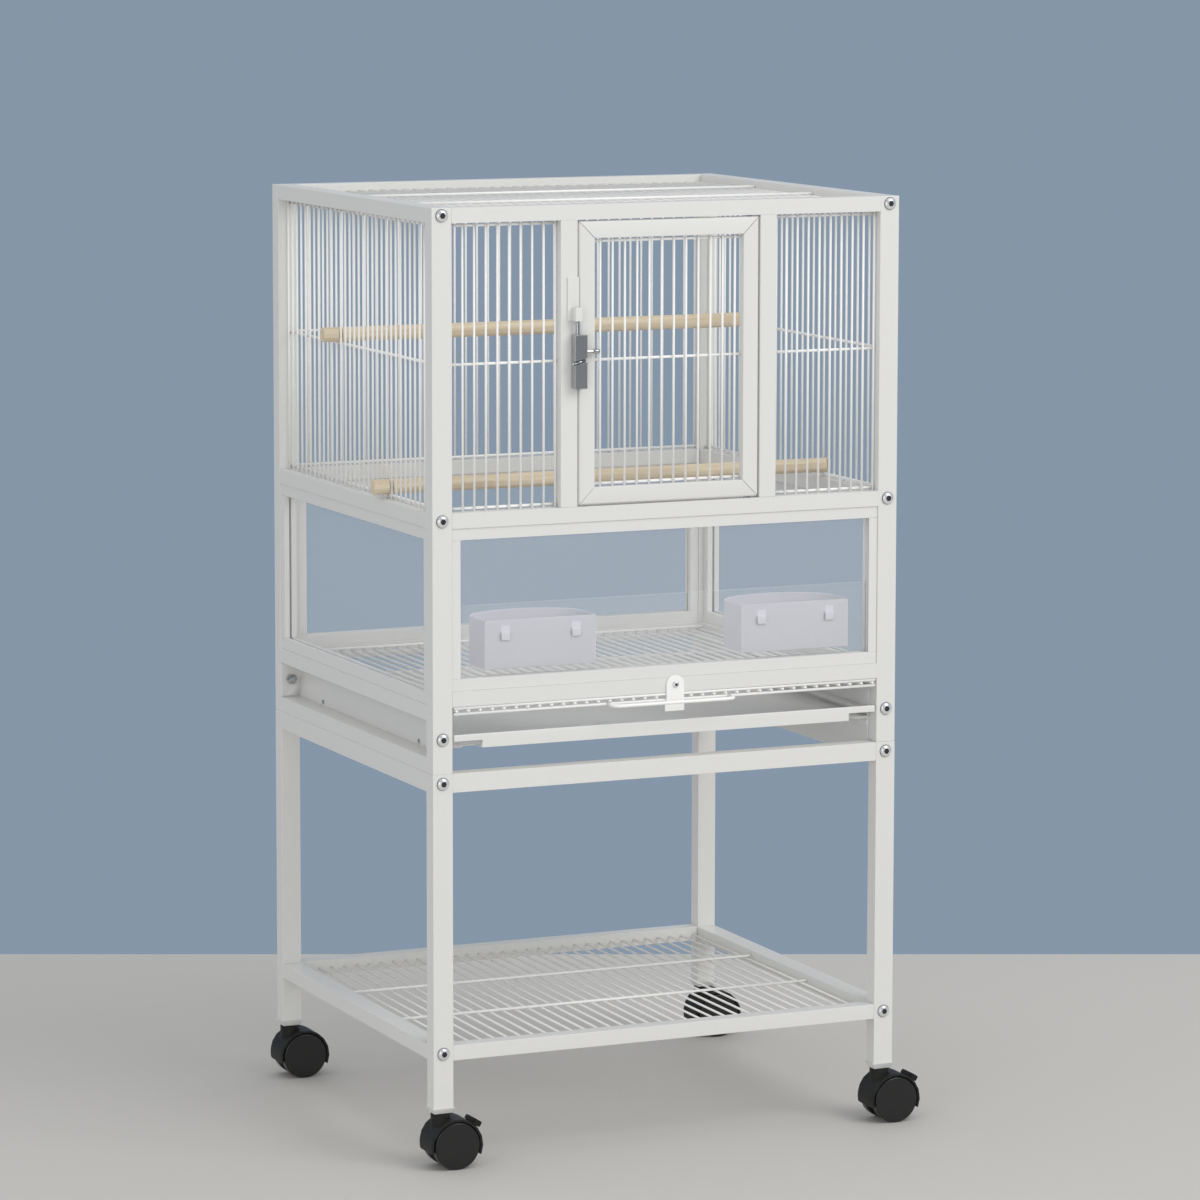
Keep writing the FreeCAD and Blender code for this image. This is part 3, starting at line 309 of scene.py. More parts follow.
def level_tube(path, diameter, sides):
    """A round tube along a level path: at each point a circle stands square to the path's direction."""
    up = np.array([0.0, 0.0, 1.0])
    sideways = np.cross(up, unit(np.gradient(path, axis=0)))
    turn = circle(sides)[:, None]
    ring = np.cos(turn) * sideways[:, None, :] + np.sin(turn) * up
    return path[:, None, :] + diameter / 2 * ring


def wires_between(node, run, wide, thin, outward, number, inset, row_places, sizes):
    """The wires of one grille, from the box of its node.

    Upright wires run along one axis and are spread along another. Level wires lie against their inner side, at the
    given places along the run.
    """
    low, high = box_of(node)
    outer_face = high[thin] if outward > 0 else low[thin]
    wire_place = outer_face - outward * sizes.wire / 2
    row_place = outer_face - outward * (sizes.wire + sizes.cross_wire / 2)
    spread = np.linspace(low[wide] + inset, high[wide] - inset, number)
    surfaces = []
    for beside, places, depth, diameter in ((wide, spread, wire_place, sizes.wire),
                                            (run, row_places, row_place, sizes.cross_wire)):
        for place in places:
            start, end = low.copy(), high.copy()
            start[beside] = end[beside] = place
            start[thin] = end[thin] = depth
            surfaces.append(straight_wire(start, end, diameter, sizes.wire_sides))
    return surfaces


def wall_rows(node, sizes):
    """Heights of a wall's level wires: one near each rail and one across the middle of the cage's walls."""
    low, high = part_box(node)
    wall_low, wall_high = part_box("left_grille")
    middle = wall_low.z + sizes.cross_share * (wall_high.z - wall_low.z)
    return (low.z + sizes.rail_offset, middle, high.z - sizes.rail_offset)


def deck_rows(node):
    """Places of the two level wires across a roof or a shelf, at its thirds."""
    low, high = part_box(node)
    return np.linspace(low.y, high.y, 4)[1:3]


def node_slot(node):
    """The record's material slot of a node."""
    return next(row["material_slot"] for row in frame["record"]["subparts"] if row["node"] == node)


def node_body(node):
    """The body that a node moves with."""
    return next(body for body, nodes in BODIES.items() if node in nodes)


def fasten(piece, body, slot_name, look=None):
    """Lets a piece ride on a body, with a slot and the slot's finish or another one."""
    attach(piece, body)
    piece.data.materials.append(finish(look or slot_name))


def dress(piece, node, look=None):
    """Lets a piece stand for a node, on its body and with its slot."""
    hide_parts(node)
    fasten(piece, node_body(node), node_slot(node), look)
    return piece


def face_values(mesh, name):
    """The normals or the centres of a mesh's faces, as rows of three."""
    values = np.empty(len(mesh.polygons) * 3)
    mesh.polygons.foreach_get(name, values)
    return values.reshape(-1, 3)


def part_solids(shape):
    """Parts the solids that touch along an edge: faces that meet in twos belong to one solid."""
    seen = set()
    solids = []
    for first in shape.faces:
        solid = [] if first in seen else [first]
        seen.add(first)
        for face in solid:
            for pair in (edge.link_faces for edge in face.edges if len(edge.link_faces) == 2):
                fresh = [other for other in pair if other not in seen]
                seen.update(fresh)
                solid += fresh
        if solid:
            solids.append(solid)
    for solid in solids[1:]:
        bmesh.ops.split(shape, geom=solid)


def merged_copy(node, ending):
    """A copy of a node with closed solids and one face for each flat side.

    Its sharp outer edges have a bevel weight, and its sharp inner edges stay sharp.
    """
    mesh = frame["nodes"][node].data.copy()
    shape = bmesh.new()
    shape.from_mesh(mesh)
    bmesh.ops.remove_doubles(shape, verts=shape.verts, dist=MERGE)
    part_solids(shape)
    bmesh.ops.dissolve_limit(shape, angle_limit=FLAT_BEND, verts=shape.verts, edges=shape.edges)
    weight = shape.edges.layers.float.new("bevel_weight_edge")
    for edge in shape.edges:
        bend = edge.calc_face_angle_signed() if edge.is_manifold else 0.0
        edge[weight] = float(bend > SHARP_BEND)
        edge.smooth = bend > -SHARP_BEND
    for face in shape.faces:
        face.smooth = True
    shape.to_mesh(mesh)
    shape.free()
    mesh.materials.clear()
    piece = bpy.data.objects.new(node + ending, mesh)
    bpy.context.scene.collection.objects.link(piece)
    return piece


def soft_copy(node, edge):
    """A merged copy of a node with its sharp outer edges rounded by a bevel."""
    piece = merged_copy(node, "_soft")
    bevel = piece.modifiers.new("soft_edges", "BEVEL")
    bevel.width = edge
    bevel.segments = 2
    bevel.limit_method = "WEIGHT"
    weighted = piece.modifiers.new("flat_faces", "WEIGHTED_NORMAL")
    weighted.weight = 100
    weighted.keep_sharp = True
    return dress(piece, node)


def new_finish(name):
    """An empty material with its main shader and its node tree."""
    material = bpy.data.materials.new(name)
    material.use_nodes = True
    return material, material.node_tree, material.node_tree.nodes["Principled BSDF"]


def add_bump(tree, shader, scale, strength, distance):
    """A fine uneven surface from noise on the object's own coordinates."""
    place = tree.nodes.new("ShaderNodeTexCoord")
    noise = tree.nodes.new("ShaderNodeTexNoise")
    noise.inputs["Scale"].default_value = scale
    noise.inputs["Detail"].default_value = 3.0
    bump = tree.nodes.new("ShaderNodeBump")
    bump.inputs["Strength"].default_value = strength
    bump.inputs["Distance"].default_value = distance
    tree.links.new(place.outputs["Object"], noise.inputs["Vector"])
    tree.links.new(noise.outputs["Fac"], bump.inputs["Height"])
    tree.links.new(bump.outputs["Normal"], shader.inputs["Normal"])


def plain_finish(name, rgb, roughness, bump_scale, bump_strength, metallic=0.0, specular=0.5):
    """A plain coat with a fine texture."""
    material, tree, shader = new_finish(name)
    shader.inputs["Base Color"].default_value = (*rgb, 1.0)
    shader.inputs["Roughness"].default_value = roughness
    shader.inputs["Metallic"].default_value = metallic
    shader.inputs["Specular IOR Level"].default_value = specular
    add_bump(tree, shader, bump_scale, bump_strength, BUMP_DEPTH)
    return material


def powder_coat(name, colours):
    """Satin white powder coat on the tubes."""
    return plain_finish(name, colours.coat, roughness=0.36, bump_scale=900.0, bump_strength=0.10)


def wire_coat(name, colours):
    """Satin white coat on the wires."""
    return plain_finish(name, colours.wire, roughness=0.34, bump_scale=700.0, bump_strength=0.06)


def white_moulding(name, colours):
    """Smooth white plastic."""
    return plain_finish(name, colours.moulding, roughness=0.40, bump_scale=300.0, bump_strength=0.05)


def milky_plastic(name, colours):
    """Milky plastic that lets light into it."""
    material = plain_finish(name, colours.bowl, roughness=0.32, bump_scale=120.0, bump_strength=0.04)
    shader = material.node_tree.nodes["Principled BSDF"]
    shader.inputs["Subsurface Weight"].default_value = 0.35
    shader.inputs["Subsurface Radius"].default_value = (0.02, 0.02, 0.025)
    shader.inputs["Subsurface Scale"].default_value = 0.3
    return material


def bare_wood(name, colours):
    """Pale wood with fine grain along the perch."""
    material, tree, shader = new_finish(name)
    place = tree.nodes.new("ShaderNodeTexCoord")
    mapping = tree.nodes.new("ShaderNodeMapping")
    mapping.inputs["Scale"].default_value = (6.0, 160.0, 160.0)
    noise = tree.nodes.new("ShaderNodeTexNoise")
    noise.inputs["Scale"].default_value = 1.6
    noise.inputs["Detail"].default_value = 6.0
    ramp = tree.nodes.new("ShaderNodeValToRGB")
    ramp.color_ramp.elements[0].position = 0.3
    ramp.color_ramp.elements[0].color = (*colours.grain, 1.0)
    ramp.color_ramp.elements[1].position = 0.62
    ramp.color_ramp.elements[1].color = (*colours.wood, 1.0)
    tree.links.new(place.outputs["Object"], mapping.inputs["Vector"])
    tree.links.new(mapping.outputs["Vector"], noise.inputs["Vector"])
    tree.links.new(noise.outputs["Fac"], ramp.inputs["Fac"])
    tree.links.new(ramp.outputs["Color"], shader.inputs["Base Color"])
    shader.inputs["Roughness"].default_value = 0.6
    return material


def bright_zinc(name, colours):
    """Bright zinc plate."""
    return plain_finish(name, colours.zinc, roughness=0.20, bump_scale=500.0, bump_strength=0.03, metallic=1.0)


def bolt_steel(name, colours):
    """Frosted bright plate of the bolts and the lock screw."""
    return plain_finish(name, colours.bolt, roughness=0.28, bump_scale=500.0, bump_strength=0.04, metallic=0.65)


def painted_shade_steel(name, colours):
    """Painted shade: dark steel that stands in for the shade inside the bolts' sockets and the contact shadow round
    their heads.
    """
    return plain_finish(name, colours.socket, roughness=0.5, bump_scale=500.0, bump_strength=0.05, metallic=0.6)


def black_moulding(name, colours):
    """Matte black caster plastic."""
    return plain_finish(name, colours.caster, roughness=0.42, bump_scale=400.0, bump_strength=0.04, specular=0.12)


def wheel_moulding(name, colours):
    """Smooth black wheel plastic, glossier than the hoods."""
    return plain_finish(name, colours.wheel, roughness=0.26, bump_scale=400.0, bump_strength=0.02, specular=0.4)


def acrylic(name, rgb, roughness, cover):
    """Acrylic that covers a part of what lies behind it."""
    material, _, shader = new_finish(name)
    shader.inputs["Base Color"].default_value = (*rgb, 1.0)
    shader.inputs["Roughness"].default_value = roughness
    shader.inputs["IOR"].default_value = 1.49
    shader.inputs["Alpha"].default_value = cover
    return material


def clear_sheet(name, colours):
    """The clear, glossy face of an acrylic sheet."""
    return acrylic(name, colours.acrylic, roughness=0.04, cover=0.06)


def sheet_rim(name, colours):
    """The cut edge of an acrylic sheet, which gathers light."""
    return acrylic(name, colours.acrylic, roughness=0.3, cover=0.8)


FINISHES = {
    "white_steel": powder_coat,
    "white_wire": wire_coat,
    "white_plastic": white_moulding,
    "milky_plastic": milky_plastic,
    "pale_wood": bare_wood,
    "zinc_steel": bright_zinc,
    "bolt_steel": bolt_steel,
    # Painted shade: the dark steel of the socket plugs and of the rings under the bolt heads.
    "painted_shade_steel": painted_shade_steel,
    "black_plastic": black_moulding,
    "wheel_plastic": wheel_moulding,
    "clear_acrylic": clear_sheet,
    "acrylic_rim": sheet_rim,
}


def finish(slot_name):
    """The material of a slot, made on its first use."""
    made = bpy.data.materials.get(slot_name + "_finish")
    if made is None:
        made = FINISHES[slot_name](slot_name + "_finish", bpy.context.scene.cage_colours)
    return made


class CAGE_OT_finishes(bpy.types.Operator):
    """Gives every node of the frame the finish of its slot"""

    bl_idname = "cage.finishes"
    bl_label = "Finishes"

    def execute(self, context):
        for name, node in frame["nodes"].items():
            node.data.materials.clear()
            node.data.materials.append(finish(node_slot(name)))
        return {"FINISHED"}


class CAGE_OT_tubes(bpy.types.Operator):
    """Rounds the edges of the posts, legs, rails, jambs and door bars"""

    bl_idname = "cage.tubes"
    bl_label = "Tubes"

    def execute(self, context):
        for node in ("cage_posts_front", "cage_posts_back", "stand_legs_front", "stand_legs_back", "front_rails",
                     "back_rails", "side_rails_left", "side_rails_right", "stand_rails", "shelf_rails", "door_jambs",
                     "door_frame"):
            soft_copy(node, context.scene.cage_sizes.tube_edge)
        return {"FINISHED"}


class CAGE_OT_sheets(bpy.types.Operator):
    """Rounds the edges of the channels, the drawer's sheet pieces, the bowls and the leg sockets"""

    bl_idname = "cage.sheets"
    bl_label = "Sheet and mouldings"

    def execute(self, context):
        for node in ("front_window_channel", "left_window_channel", "right_window_channel", "back_window_channel",
                     "side_plate_left", "side_plate_right", "tray_runners", "tray", "feed_bowl_left",
                     "feed_bowl_right", "leg_sockets"):
            soft_copy(node, context.scene.cage_sizes.sheet_edge)
        return {"FINISHED"}


class CAGE_OT_panes(bpy.types.Operator):
    """Gives the clear panes bright cut edges"""

    bl_idname = "cage.panes"
    bl_label = "Panes"

    def execute(self, context):
        for node in ("front_pane", "front_guard_pane", "left_pane", "right_pane", "back_pane"):
            piece = merged_copy(node, "_sheet")
            mesh = piece.data
            mesh.shade_flat()
            low, high = box_of(node)
            facing = np.abs(face_values(mesh, "normal")[:, np.argmin(high - low)])
            centres = face_values(mesh, "center")
            outside = np.any(np.isclose(centres, low, atol=TOUCH) | np.isclose(centres, high, atol=TOUCH), axis=1)
            dress(piece, node)
            mesh.materials.append(finish("acrylic_rim"))
            mesh.polygons.foreach_set("material_index", (outside & (facing < 0.5)).astype(np.int32))
        return {"FINISHED"}


class CAGE_OT_wall_wires(bpy.types.Operator):
    """Draws the round wires of the walls and the door"""

    bl_idname = "cage.wall_wires"
    bl_label = "Wall wires"

    def execute(self, context):
        sizes = context.scene.cage_sizes
        walls = (("left_grille", Y, X, -1, sizes.side_wires, sizes.edge_inset),
                 ("right_grille", Y, X, 1, sizes.side_wires, sizes.edge_inset),
                 ("back_grille", X, Y, 1, sizes.back_wires, sizes.edge_inset),
                 ("door_grille", X, Y, -1, sizes.door_wires, sizes.door_inset))
        for node, wide, thin, outward, number, inset in walls:
            surfaces = wires_between(node, Z, wide, thin, outward, number, inset, wall_rows(node, sizes), sizes)
            dress(put_mesh(node + "_wires", *join_surfaces(surfaces)), node)
        self.front(sizes)
        return {"FINISHED"}

    def front(self, sizes):
        """The two panels beside the door: the right one is the left one mirrored."""
        node = "front_grilles"
        low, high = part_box(node)
        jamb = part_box("door_jambs")[0].x
        outer_y = low.y + sizes.wire / 2
        row_y = low.y + sizes.wire + sizes.cross_wire / 2
        surfaces = []
        for side in (1, -1):
            for x in np.linspace(low.x + sizes.edge_inset, jamb - sizes.edge_inset, sizes.front_wires):
                surfaces.append(straight_wire((side * x, outer_y, low.z), (side * x, outer_y, high.z), sizes.wire,
                                              sizes.wire_sides))
            for z in wall_rows(node, sizes):
                surfaces.append(straight_wire((side * low.x, row_y, z), (side * jamb, row_y, z), sizes.cross_wire,
                                              sizes.wire_sides))
        dress(put_mesh("front_wires", *join_surfaces(surfaces)), node)


class CAGE_OT_deck_wires(bpy.types.Operator):
    """Draws the round wires of the roof and the shelf"""

    bl_idname = "cage.deck_wires"
    bl_label = "Roof and shelf wires"

    def execute(self, context):
        sizes = context.scene.cage_sizes
        for node, number in (("roof_grille", sizes.roof_wires), ("shelf_grille", sizes.shelf_wires)):
            surfaces = wires_between(node, Y, X, Z, -1, number, sizes.deck_inset, deck_rows(node), sizes)
            dress(put_mesh(node + "_wires", *join_surfaces(surfaces)), node)
        return {"FINISHED"}


def handle_path(front, height, sizes):
    """The middle line of the pull handle: out, round a quarter circle, across, round another and back."""
    half = sizes.handle_span / 2
    bend = sizes.handle_bend
    far = front - sizes.handle_reach
    turn = np.linspace(0.0, np.pi / 2, 9)
    left = np.stack([-half + bend - bend * np.cos(turn), far + bend - bend * np.sin(turn)], -1)
    right = np.stack([-left[::-1, 0], left[::-1, 1]], -1)
    flat = np.concatenate([[[-half, front]], left, right, [[half, front]]])
    return np.concatenate([flat, np.full((len(flat), 1), height)], -1)


def plate(flat, front, back):
    """A plate: an outline of x and z carried from its front to its back."""
    rings = [np.stack([flat[:, 0], np.full(len(flat), y), flat[:, 1]], -1) for y in (front, back)]
    return np.stack(rings)[:, ::-1]


def lock_ear(front, low, middle, sizes):
    """The lock ear: a rectangle under a half circle."""
    turn = np.linspace(0.0, np.pi, 25)
    arc = np.stack([middle[X] + sizes.ear_radius * np.cos(turn), middle[Z] + sizes.ear_radius * np.sin(turn)], -1)
    foot = np.array([[middle[X] - sizes.ear_radius, low], [middle[X] + sizes.ear_radius, low]])
    return plate(np.concatenate([arc, foot]), front - sizes.ear_thickness, front)


def stop_plate(front, top, middle, sizes):
    """The small plate that hangs under the front wire: a plain rectangle."""
    half = sizes.stop_width / 2
    flat = np.array([[half, 0.0], [-half, 0.0], [-half, -sizes.stop_height], [half, -sizes.stop_height]])
    return plate(flat + [middle[X], top], front, front + sizes.ear_thickness)


class CAGE_OT_grate(bpy.types.Operator):
    """Draws the slide-out grate with its pull handle, lock ear and lock screw"""

    bl_idname = "cage.grate"
    bl_label = "Grate"

    def execute(self, context):
        sizes = context.scene.cage_sizes
        wire = sizes.cross_wire
        half = box_of("grate")[1][X]
        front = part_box("front_rails")[0].y - sizes.grate_gap
        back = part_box("grate")[1].y
        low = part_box("side_plate_left")[1].z + sizes.grate_gap
        row_low, row_middle, row_top = low + wire * (np.arange(3) + 0.5)
        surfaces = [straight_wire((x, front, row_middle), (x, back, row_middle), wire, sizes.wire_sides)
                    for x in np.linspace(-half + wire, half - wire, sizes.grate_wires)]
        places = np.linspace(front + wire / 2, back - wire / 2, sizes.grate_rows)
        for y, z in [(y, row_low) for y in places] + [(places[0], row_top), (places[-1], row_top)]:
            surfaces.append(straight_wire((-half, y, z), (half, y, z), wire, sizes.wire_sides))
        surfaces.append(level_tube(handle_path(front, row_low, sizes), sizes.handle_wire, sizes.wire_sides))
        middle = middle_of("grate_lock_screw")
        dress(put_mesh("grate_wires", *join_surfaces(surfaces)), "grate")
        plates = [lock_ear(front, low, middle, sizes), stop_plate(front, low, middle, sizes)]
        ear = put_mesh("grate_ear", *join_surfaces(plates), smooth=False)
        fasten(ear, "grate", "white_wire")
        self.screw(np.array([middle[X], front - sizes.ear_thickness, middle[Z]]), sizes)
        return {"FINISHED"}

    def screw(self, base, sizes):
        """The lock screw in the ear."""
        axis = np.array([0.0, -1.0, 0.0])
        shank_end = np.array([base[X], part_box("grate_lock_screw")[1].y, base[Z]])
        head = bolt_head(base, axis, sizes.lock_head, sizes.lock_rise, sizes.lock_socket, sizes)
        shank = straight_wire(base, shank_end, sizes.lock_head / 2, sizes.wire_sides)
        dress(put_mesh("lock_screw", *join_surfaces([head, shank]), smooth=False), "grate_lock_screw", "bolt_steel")
        # Painted shade: a dark plug in the screw's socket stands in for the shade in its depth.
        socket = socket_shade_plug(base, axis, sizes.lock_rise, sizes.lock_socket)
        put_shade_pieces("lock_screw_shade", [socket], "grate")


def bolt_head(base, axis, width, rise, socket, sizes):
    """A domed head with a six-sided socket.

    The dome's height rises as a sine and its radius falls as a cosine. The socket's rim is a hexagon:
    r = half width / cos of the angle from the nearest flat.
    """
    axis = np.asarray(axis, float)
    bend = np.linspace(0.0, 1.0, 7)
    height = sizes.rim_share + (1.0 - sizes.rim_share) * np.sin(bend) / math.sin(1.0)
    dome = np.stack([rise * height, width / 2 * np.cos(bend)], -1)
    foot = np.array([[0.0, width / 4], [0.0, width / 2]])
    shell = turned_form(np.concatenate([foot, dome]), base, axis, sizes.round_sides)
    first, second = across(axis)
    turn = circle(sizes.round_sides)
    rim = socket / 2 / np.cos(np.mod(turn, np.pi / 3) - np.pi / 6)
    ring = rim[:, None] * (np.cos(turn)[:, None] * first + np.sin(turn)[:, None] * second)
    top = np.asarray(base, float) + axis * rise
    return np.concatenate([shell, (top + ring)[None], (top - axis * rise * sizes.socket_share + ring)[None]])


def socket_shade_plug(base, axis, rise, socket):
    """Painted shade in a bolt's socket: a dark hexagon that nearly fills it, to a little below the rim, standing in
    for the shade in its depth.
    """
    deep, shallow, fill = 0.4, 0.85, 0.98
    width = fill * 2 * socket / math.sqrt(3)
    return straight_wire(base + axis * rise * deep, base + axis * rise * shallow, width, 6)


def put_shade_pieces(name, surfaces, body):
    """Painted shade of bolts: dark plugs in their sockets and dark rings under their heads, standing in for shade, as
    one piece that rides on a body.
    """
    fasten(put_mesh(name, *join_surfaces(surfaces), smooth=False), body, "zinc_steel", "painted_shade_steel")


class CAGE_OT_bolts(bpy.types.Operator):
    """Draws the domed bolts through the posts and legs, and softens the nuts and runner screws"""

    bl_idname = "cage.bolts"
    bl_label = "Bolts"

    def execute(self, context):
        sizes = context.scene.cage_sizes
        post_low, post_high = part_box("cage_posts_front")
        heads = []
        sockets = []
        bolt_x = post_high.x - (post_high.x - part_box("front_rails")[1].x) / 2
        for side in (-1, 1):
            for face in (-1, 1):
                axis = np.array([0.0, float(face), 0.0])
                for z in self.heights(post_high.z):
                    base = np.array([side * bolt_x, face * abs(post_low.y), z])
                    heads.append(bolt_head(base, axis, sizes.bolt_head, sizes.bolt_rise, sizes.bolt_socket, sizes))
                    heads.append(straight_wire(base, base - axis * (post_high.y - post_low.y), sizes.bolt_shank,
                                               sizes.wire_sides))
                    # Painted shade: a dark plug in the socket stands in for the shade in its depth.
                    sockets.append(socket_shade_plug(base, axis, sizes.bolt_rise, sizes.bolt_socket))
                    # Painted shadow: a dark ring just wider than the head stands in for the contact shadow round it.
                    sockets.append(straight_wire(base, base + axis * sizes.shadow_ring, sizes.bolt_head + 2 * sizes.shadow_ring,
                                                 sizes.round_sides))
        dress(put_mesh("domed_bolts", *join_surfaces(heads), smooth=False), "frame_bolts", "bolt_steel")
        put_shade_pieces("bolt_shade_marks", sockets, "cage_frame")
        for node in ("cap_nuts", "runner_screws"):
            soft_copy(node, sizes.sheet_edge)
        return {"FINISHED"}

    def heights(self, top):
        """Levels of the bolts: the middles of the rails, and the nuts of the drawer's side plates."""
        shelf_low, shelf_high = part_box("shelf_rails")
        stand_low, stand_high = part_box("stand_rails")
        nut_low, nut_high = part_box("cap_nuts")
        rail_half = (shelf_high.z - shelf_low.z) / 2
        return [(shelf_low.z + shelf_high.z) / 2, (stand_low.z + stand_high.z) / 2, (nut_low.z + nut_high.z) / 2,
                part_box("left_grille")[0].z - rail_half, top - rail_half]


class CAGE_OT_latch(bpy.types.Operator):
    """Softens the latch's housing, bolt and keeper, and draws the small catch bar in the housing's groove"""

    bl_idname = "cage.latch"
    bl_label = "Latch"

    def execute(self, context):
        sizes = context.scene.cage_sizes
        for node in ("latch_housing", "latch_bolt", "latch_keeper"):
            soft_copy(node, sizes.sheet_edge)
        low, high = box_of("latch_housing")
        middle = middle_of("latch_housing")
        middle[Y] = low[Y] + sizes.catch_bar * sizes.catch_sink
        along = np.array([math.cos(sizes.catch_angle), 0.0, math.sin(sizes.catch_angle)])
        half = (high[X] - low[X]) / 2
        bar = straight_wire(middle - along * (half + sizes.catch_bar), middle + along * (half - sizes.catch_bar / 2),
                            sizes.catch_bar, sizes.wire_sides)
        pole = 0.05
        bend = np.linspace(pole, np.pi - pole, 13)
        ball = sizes.catch_ball / 2 * np.stack([-np.cos(bend), np.sin(bend)], -1)
        end = turned_form(ball, middle - along * (half + sizes.catch_bar), along, sizes.wire_sides)
        fasten(put_mesh("latch_catch_bar", *join_surfaces([bar, end])), "door", "zinc_steel")
        return {"FINISHED"}


def wheel_profile(radius, width, edge):
    """Half section of a wheel from the inner face to the outer one, with a quarter circle at each edge."""
    bend = np.linspace(0.0, np.pi / 2, 6)
    inner = np.stack([edge - edge * np.cos(bend), radius - edge + edge * np.sin(bend)], -1)
    outer = np.stack([width - edge + edge * np.sin(bend), radius - edge + edge * np.cos(bend)], -1)
    return np.concatenate([[[0.0, radius / 8]], inner, outer, [[width, radius / 2], [width, radius / 50]]])


def rounded_square(sides):
    """Points at even angles round a square with round corners, where a to the sixth + b to the sixth is one."""
    turn = circle(sides)
    reach = (np.cos(turn) ** 6 + np.sin(turn) ** 6) ** (-1 / 6)
    return reach * np.cos(turn), reach * np.sin(turn)


def curved_bar(axle, turn, radius, thick, half, sides):
    """A bar bent round an axle: at each angle a rounded rectangle stands across it.

    A point's distance from the axle is radius + thick * first, and its place along the axle is half * second, with
    both taken round the rounded square.
    """
    first, second = rounded_square(sides)
    reach = radius + thick[:, None] * first
    return axle + np.stack([reach * np.cos(turn)[:, None], half[:, None] * second, reach * np.sin(turn)[:, None]], -1)


# Angles along the low end of a hood, and the parts of its full thickness and full width that it has at each.
SKIRT_TURN = np.radians([150.0, 151.0, 158.0, 165.0, 172.0, 179.0, 186.0, 192.0, 194.0, 195.0])
SKIRT_EASE = np.array([0.5, 0.9, 1.0, 1.0, 1.0, 1.0, 1.0, 1.0, 0.9, 0.5])
SKIRT_SPREAD = 0.98 + 0.02 * SKIRT_EASE


class CAGE_OT_casters(bpy.types.Operator):
    """Draws the smooth wheels, skirts and brake levers of the casters, and softens the hoods"""

    bl_idname = "cage.casters"
    bl_label = "Casters"

    def execute(self, context):
        sizes = context.scene.cage_sizes
        for corner in CORNERS:
            self.wheels("caster_wheels_" + corner, sizes)
            soft_copy("caster_hood_" + corner, sizes.sheet_edge)
            self.skirt(corner, sizes)
        for corner in CORNERS[:2]:
            self.brake(corner, sizes)
        return {"FINISHED"}

    def skirt(self, corner, sizes):
        """The end of the hood that reaches down behind the wheels."""
        hood_low, hood_high = box_of("caster_hood_" + corner)
        half = (hood_high[Y] - hood_low[Y]) / 2 * SKIRT_SPREAD
        rows = curved_bar(middle_of("caster_wheels_" + corner), SKIRT_TURN, sizes.hood_radius,
                          sizes.hood_wall / 2 * SKIRT_EASE, half, sizes.round_sides)
        piece = put_mesh("caster_skirt_" + corner, *join_surfaces([rows]))
        piece.data.set_sharp_from_angle(angle=CREASE)
        fasten(piece, "hood_" + corner, "black_plastic")

    def brake(self, corner, sizes):
        """A short sloping lever with a bore for its pin.

        Its outline is a rounded rectangle, pushed away from the axle where it would meet the hood. The bore is a
        circle round the pivot, at the same angles, and both are carried along the pivot.
        """
        node = "caster_brake_" + corner
        low, high = box_of(node)
        pivot = np.array(next(row["pos_m"] for row in JOINTS if row["name"] == "brake_press_" + corner))
        slope = sizes.brake_slope
        along = np.array([math.cos(slope), 0.0, -math.sin(slope)])
        outward = np.array([math.sin(slope), 0.0, math.cos(slope)])
        first, second = rounded_square(sizes.round_sides)
        rise = sizes.brake_thickness * (sizes.brake_lift + first / 2)
        run = sizes.brake_length * second / 2
        angle = np.arctan2(run, rise)
        outline = pivot + rise[:, None] * outward + run[:, None] * along
        bore = pivot + sizes.brake_bore / 2 * (np.cos(angle)[:, None] * outward + np.sin(angle)[:, None] * along)
        from_axle = outline - middle_of("caster_wheels_" + corner)
        clear = sizes.hood_radius + sizes.hood_wall / 2 + sizes.brake_gap
        outline += from_axle * np.maximum(clear / np.linalg.norm(from_axle, axis=1, keepdims=True) - 1.0, 0.0)
        rows = np.stack([outline, outline, bore, bore])
        rows[[0, 3], :, Y] = low[Y]
        rows[[1, 2], :, Y] = high[Y]
        piece = put_mesh(node + "_lever", rows.reshape(-1, 3), grid_faces(4, sizes.round_sides, ring=True))
        piece.data.set_sharp_from_angle(angle=CREASE)
        dress(piece, node)

    def wheels(self, node, sizes):
        """Two wheels and the axle between them."""
        low, high = box_of(node)
        middle = middle_of(node)
        width = (high[Y] - low[Y]) / 2 - sizes.wheel_gap
        profile = wheel_profile((high[Z] - low[Z]) / 2, width, sizes.wheel_round)
        surfaces = []
        for side in (-1.0, 1.0):
            axis = np.array([0.0, side, 0.0])
            surfaces.append(turned_form(profile, middle + axis * sizes.wheel_gap, axis, sizes.round_sides))
        axle = np.array([0.0, sizes.wheel_gap + width / 2, 0.0])
        surfaces.append(straight_wire(middle - axle, middle + axle, sizes.axle, sizes.wire_sides))
        dress(put_mesh(node + "_smooth", *join_surfaces(surfaces)), node, "wheel_plastic")


def perch_section(x, radius, half_neck, sides):
    """One section of a perch: a circle whose sides are cut flat at the neck, y = clip(r cos t), z = r sin t."""
    turn = circle(sides)
    y = np.clip(radius * np.cos(turn), -half_neck, half_neck)
    return np.stack([np.full(sides, x), y, radius * np.sin(turn)], -1)


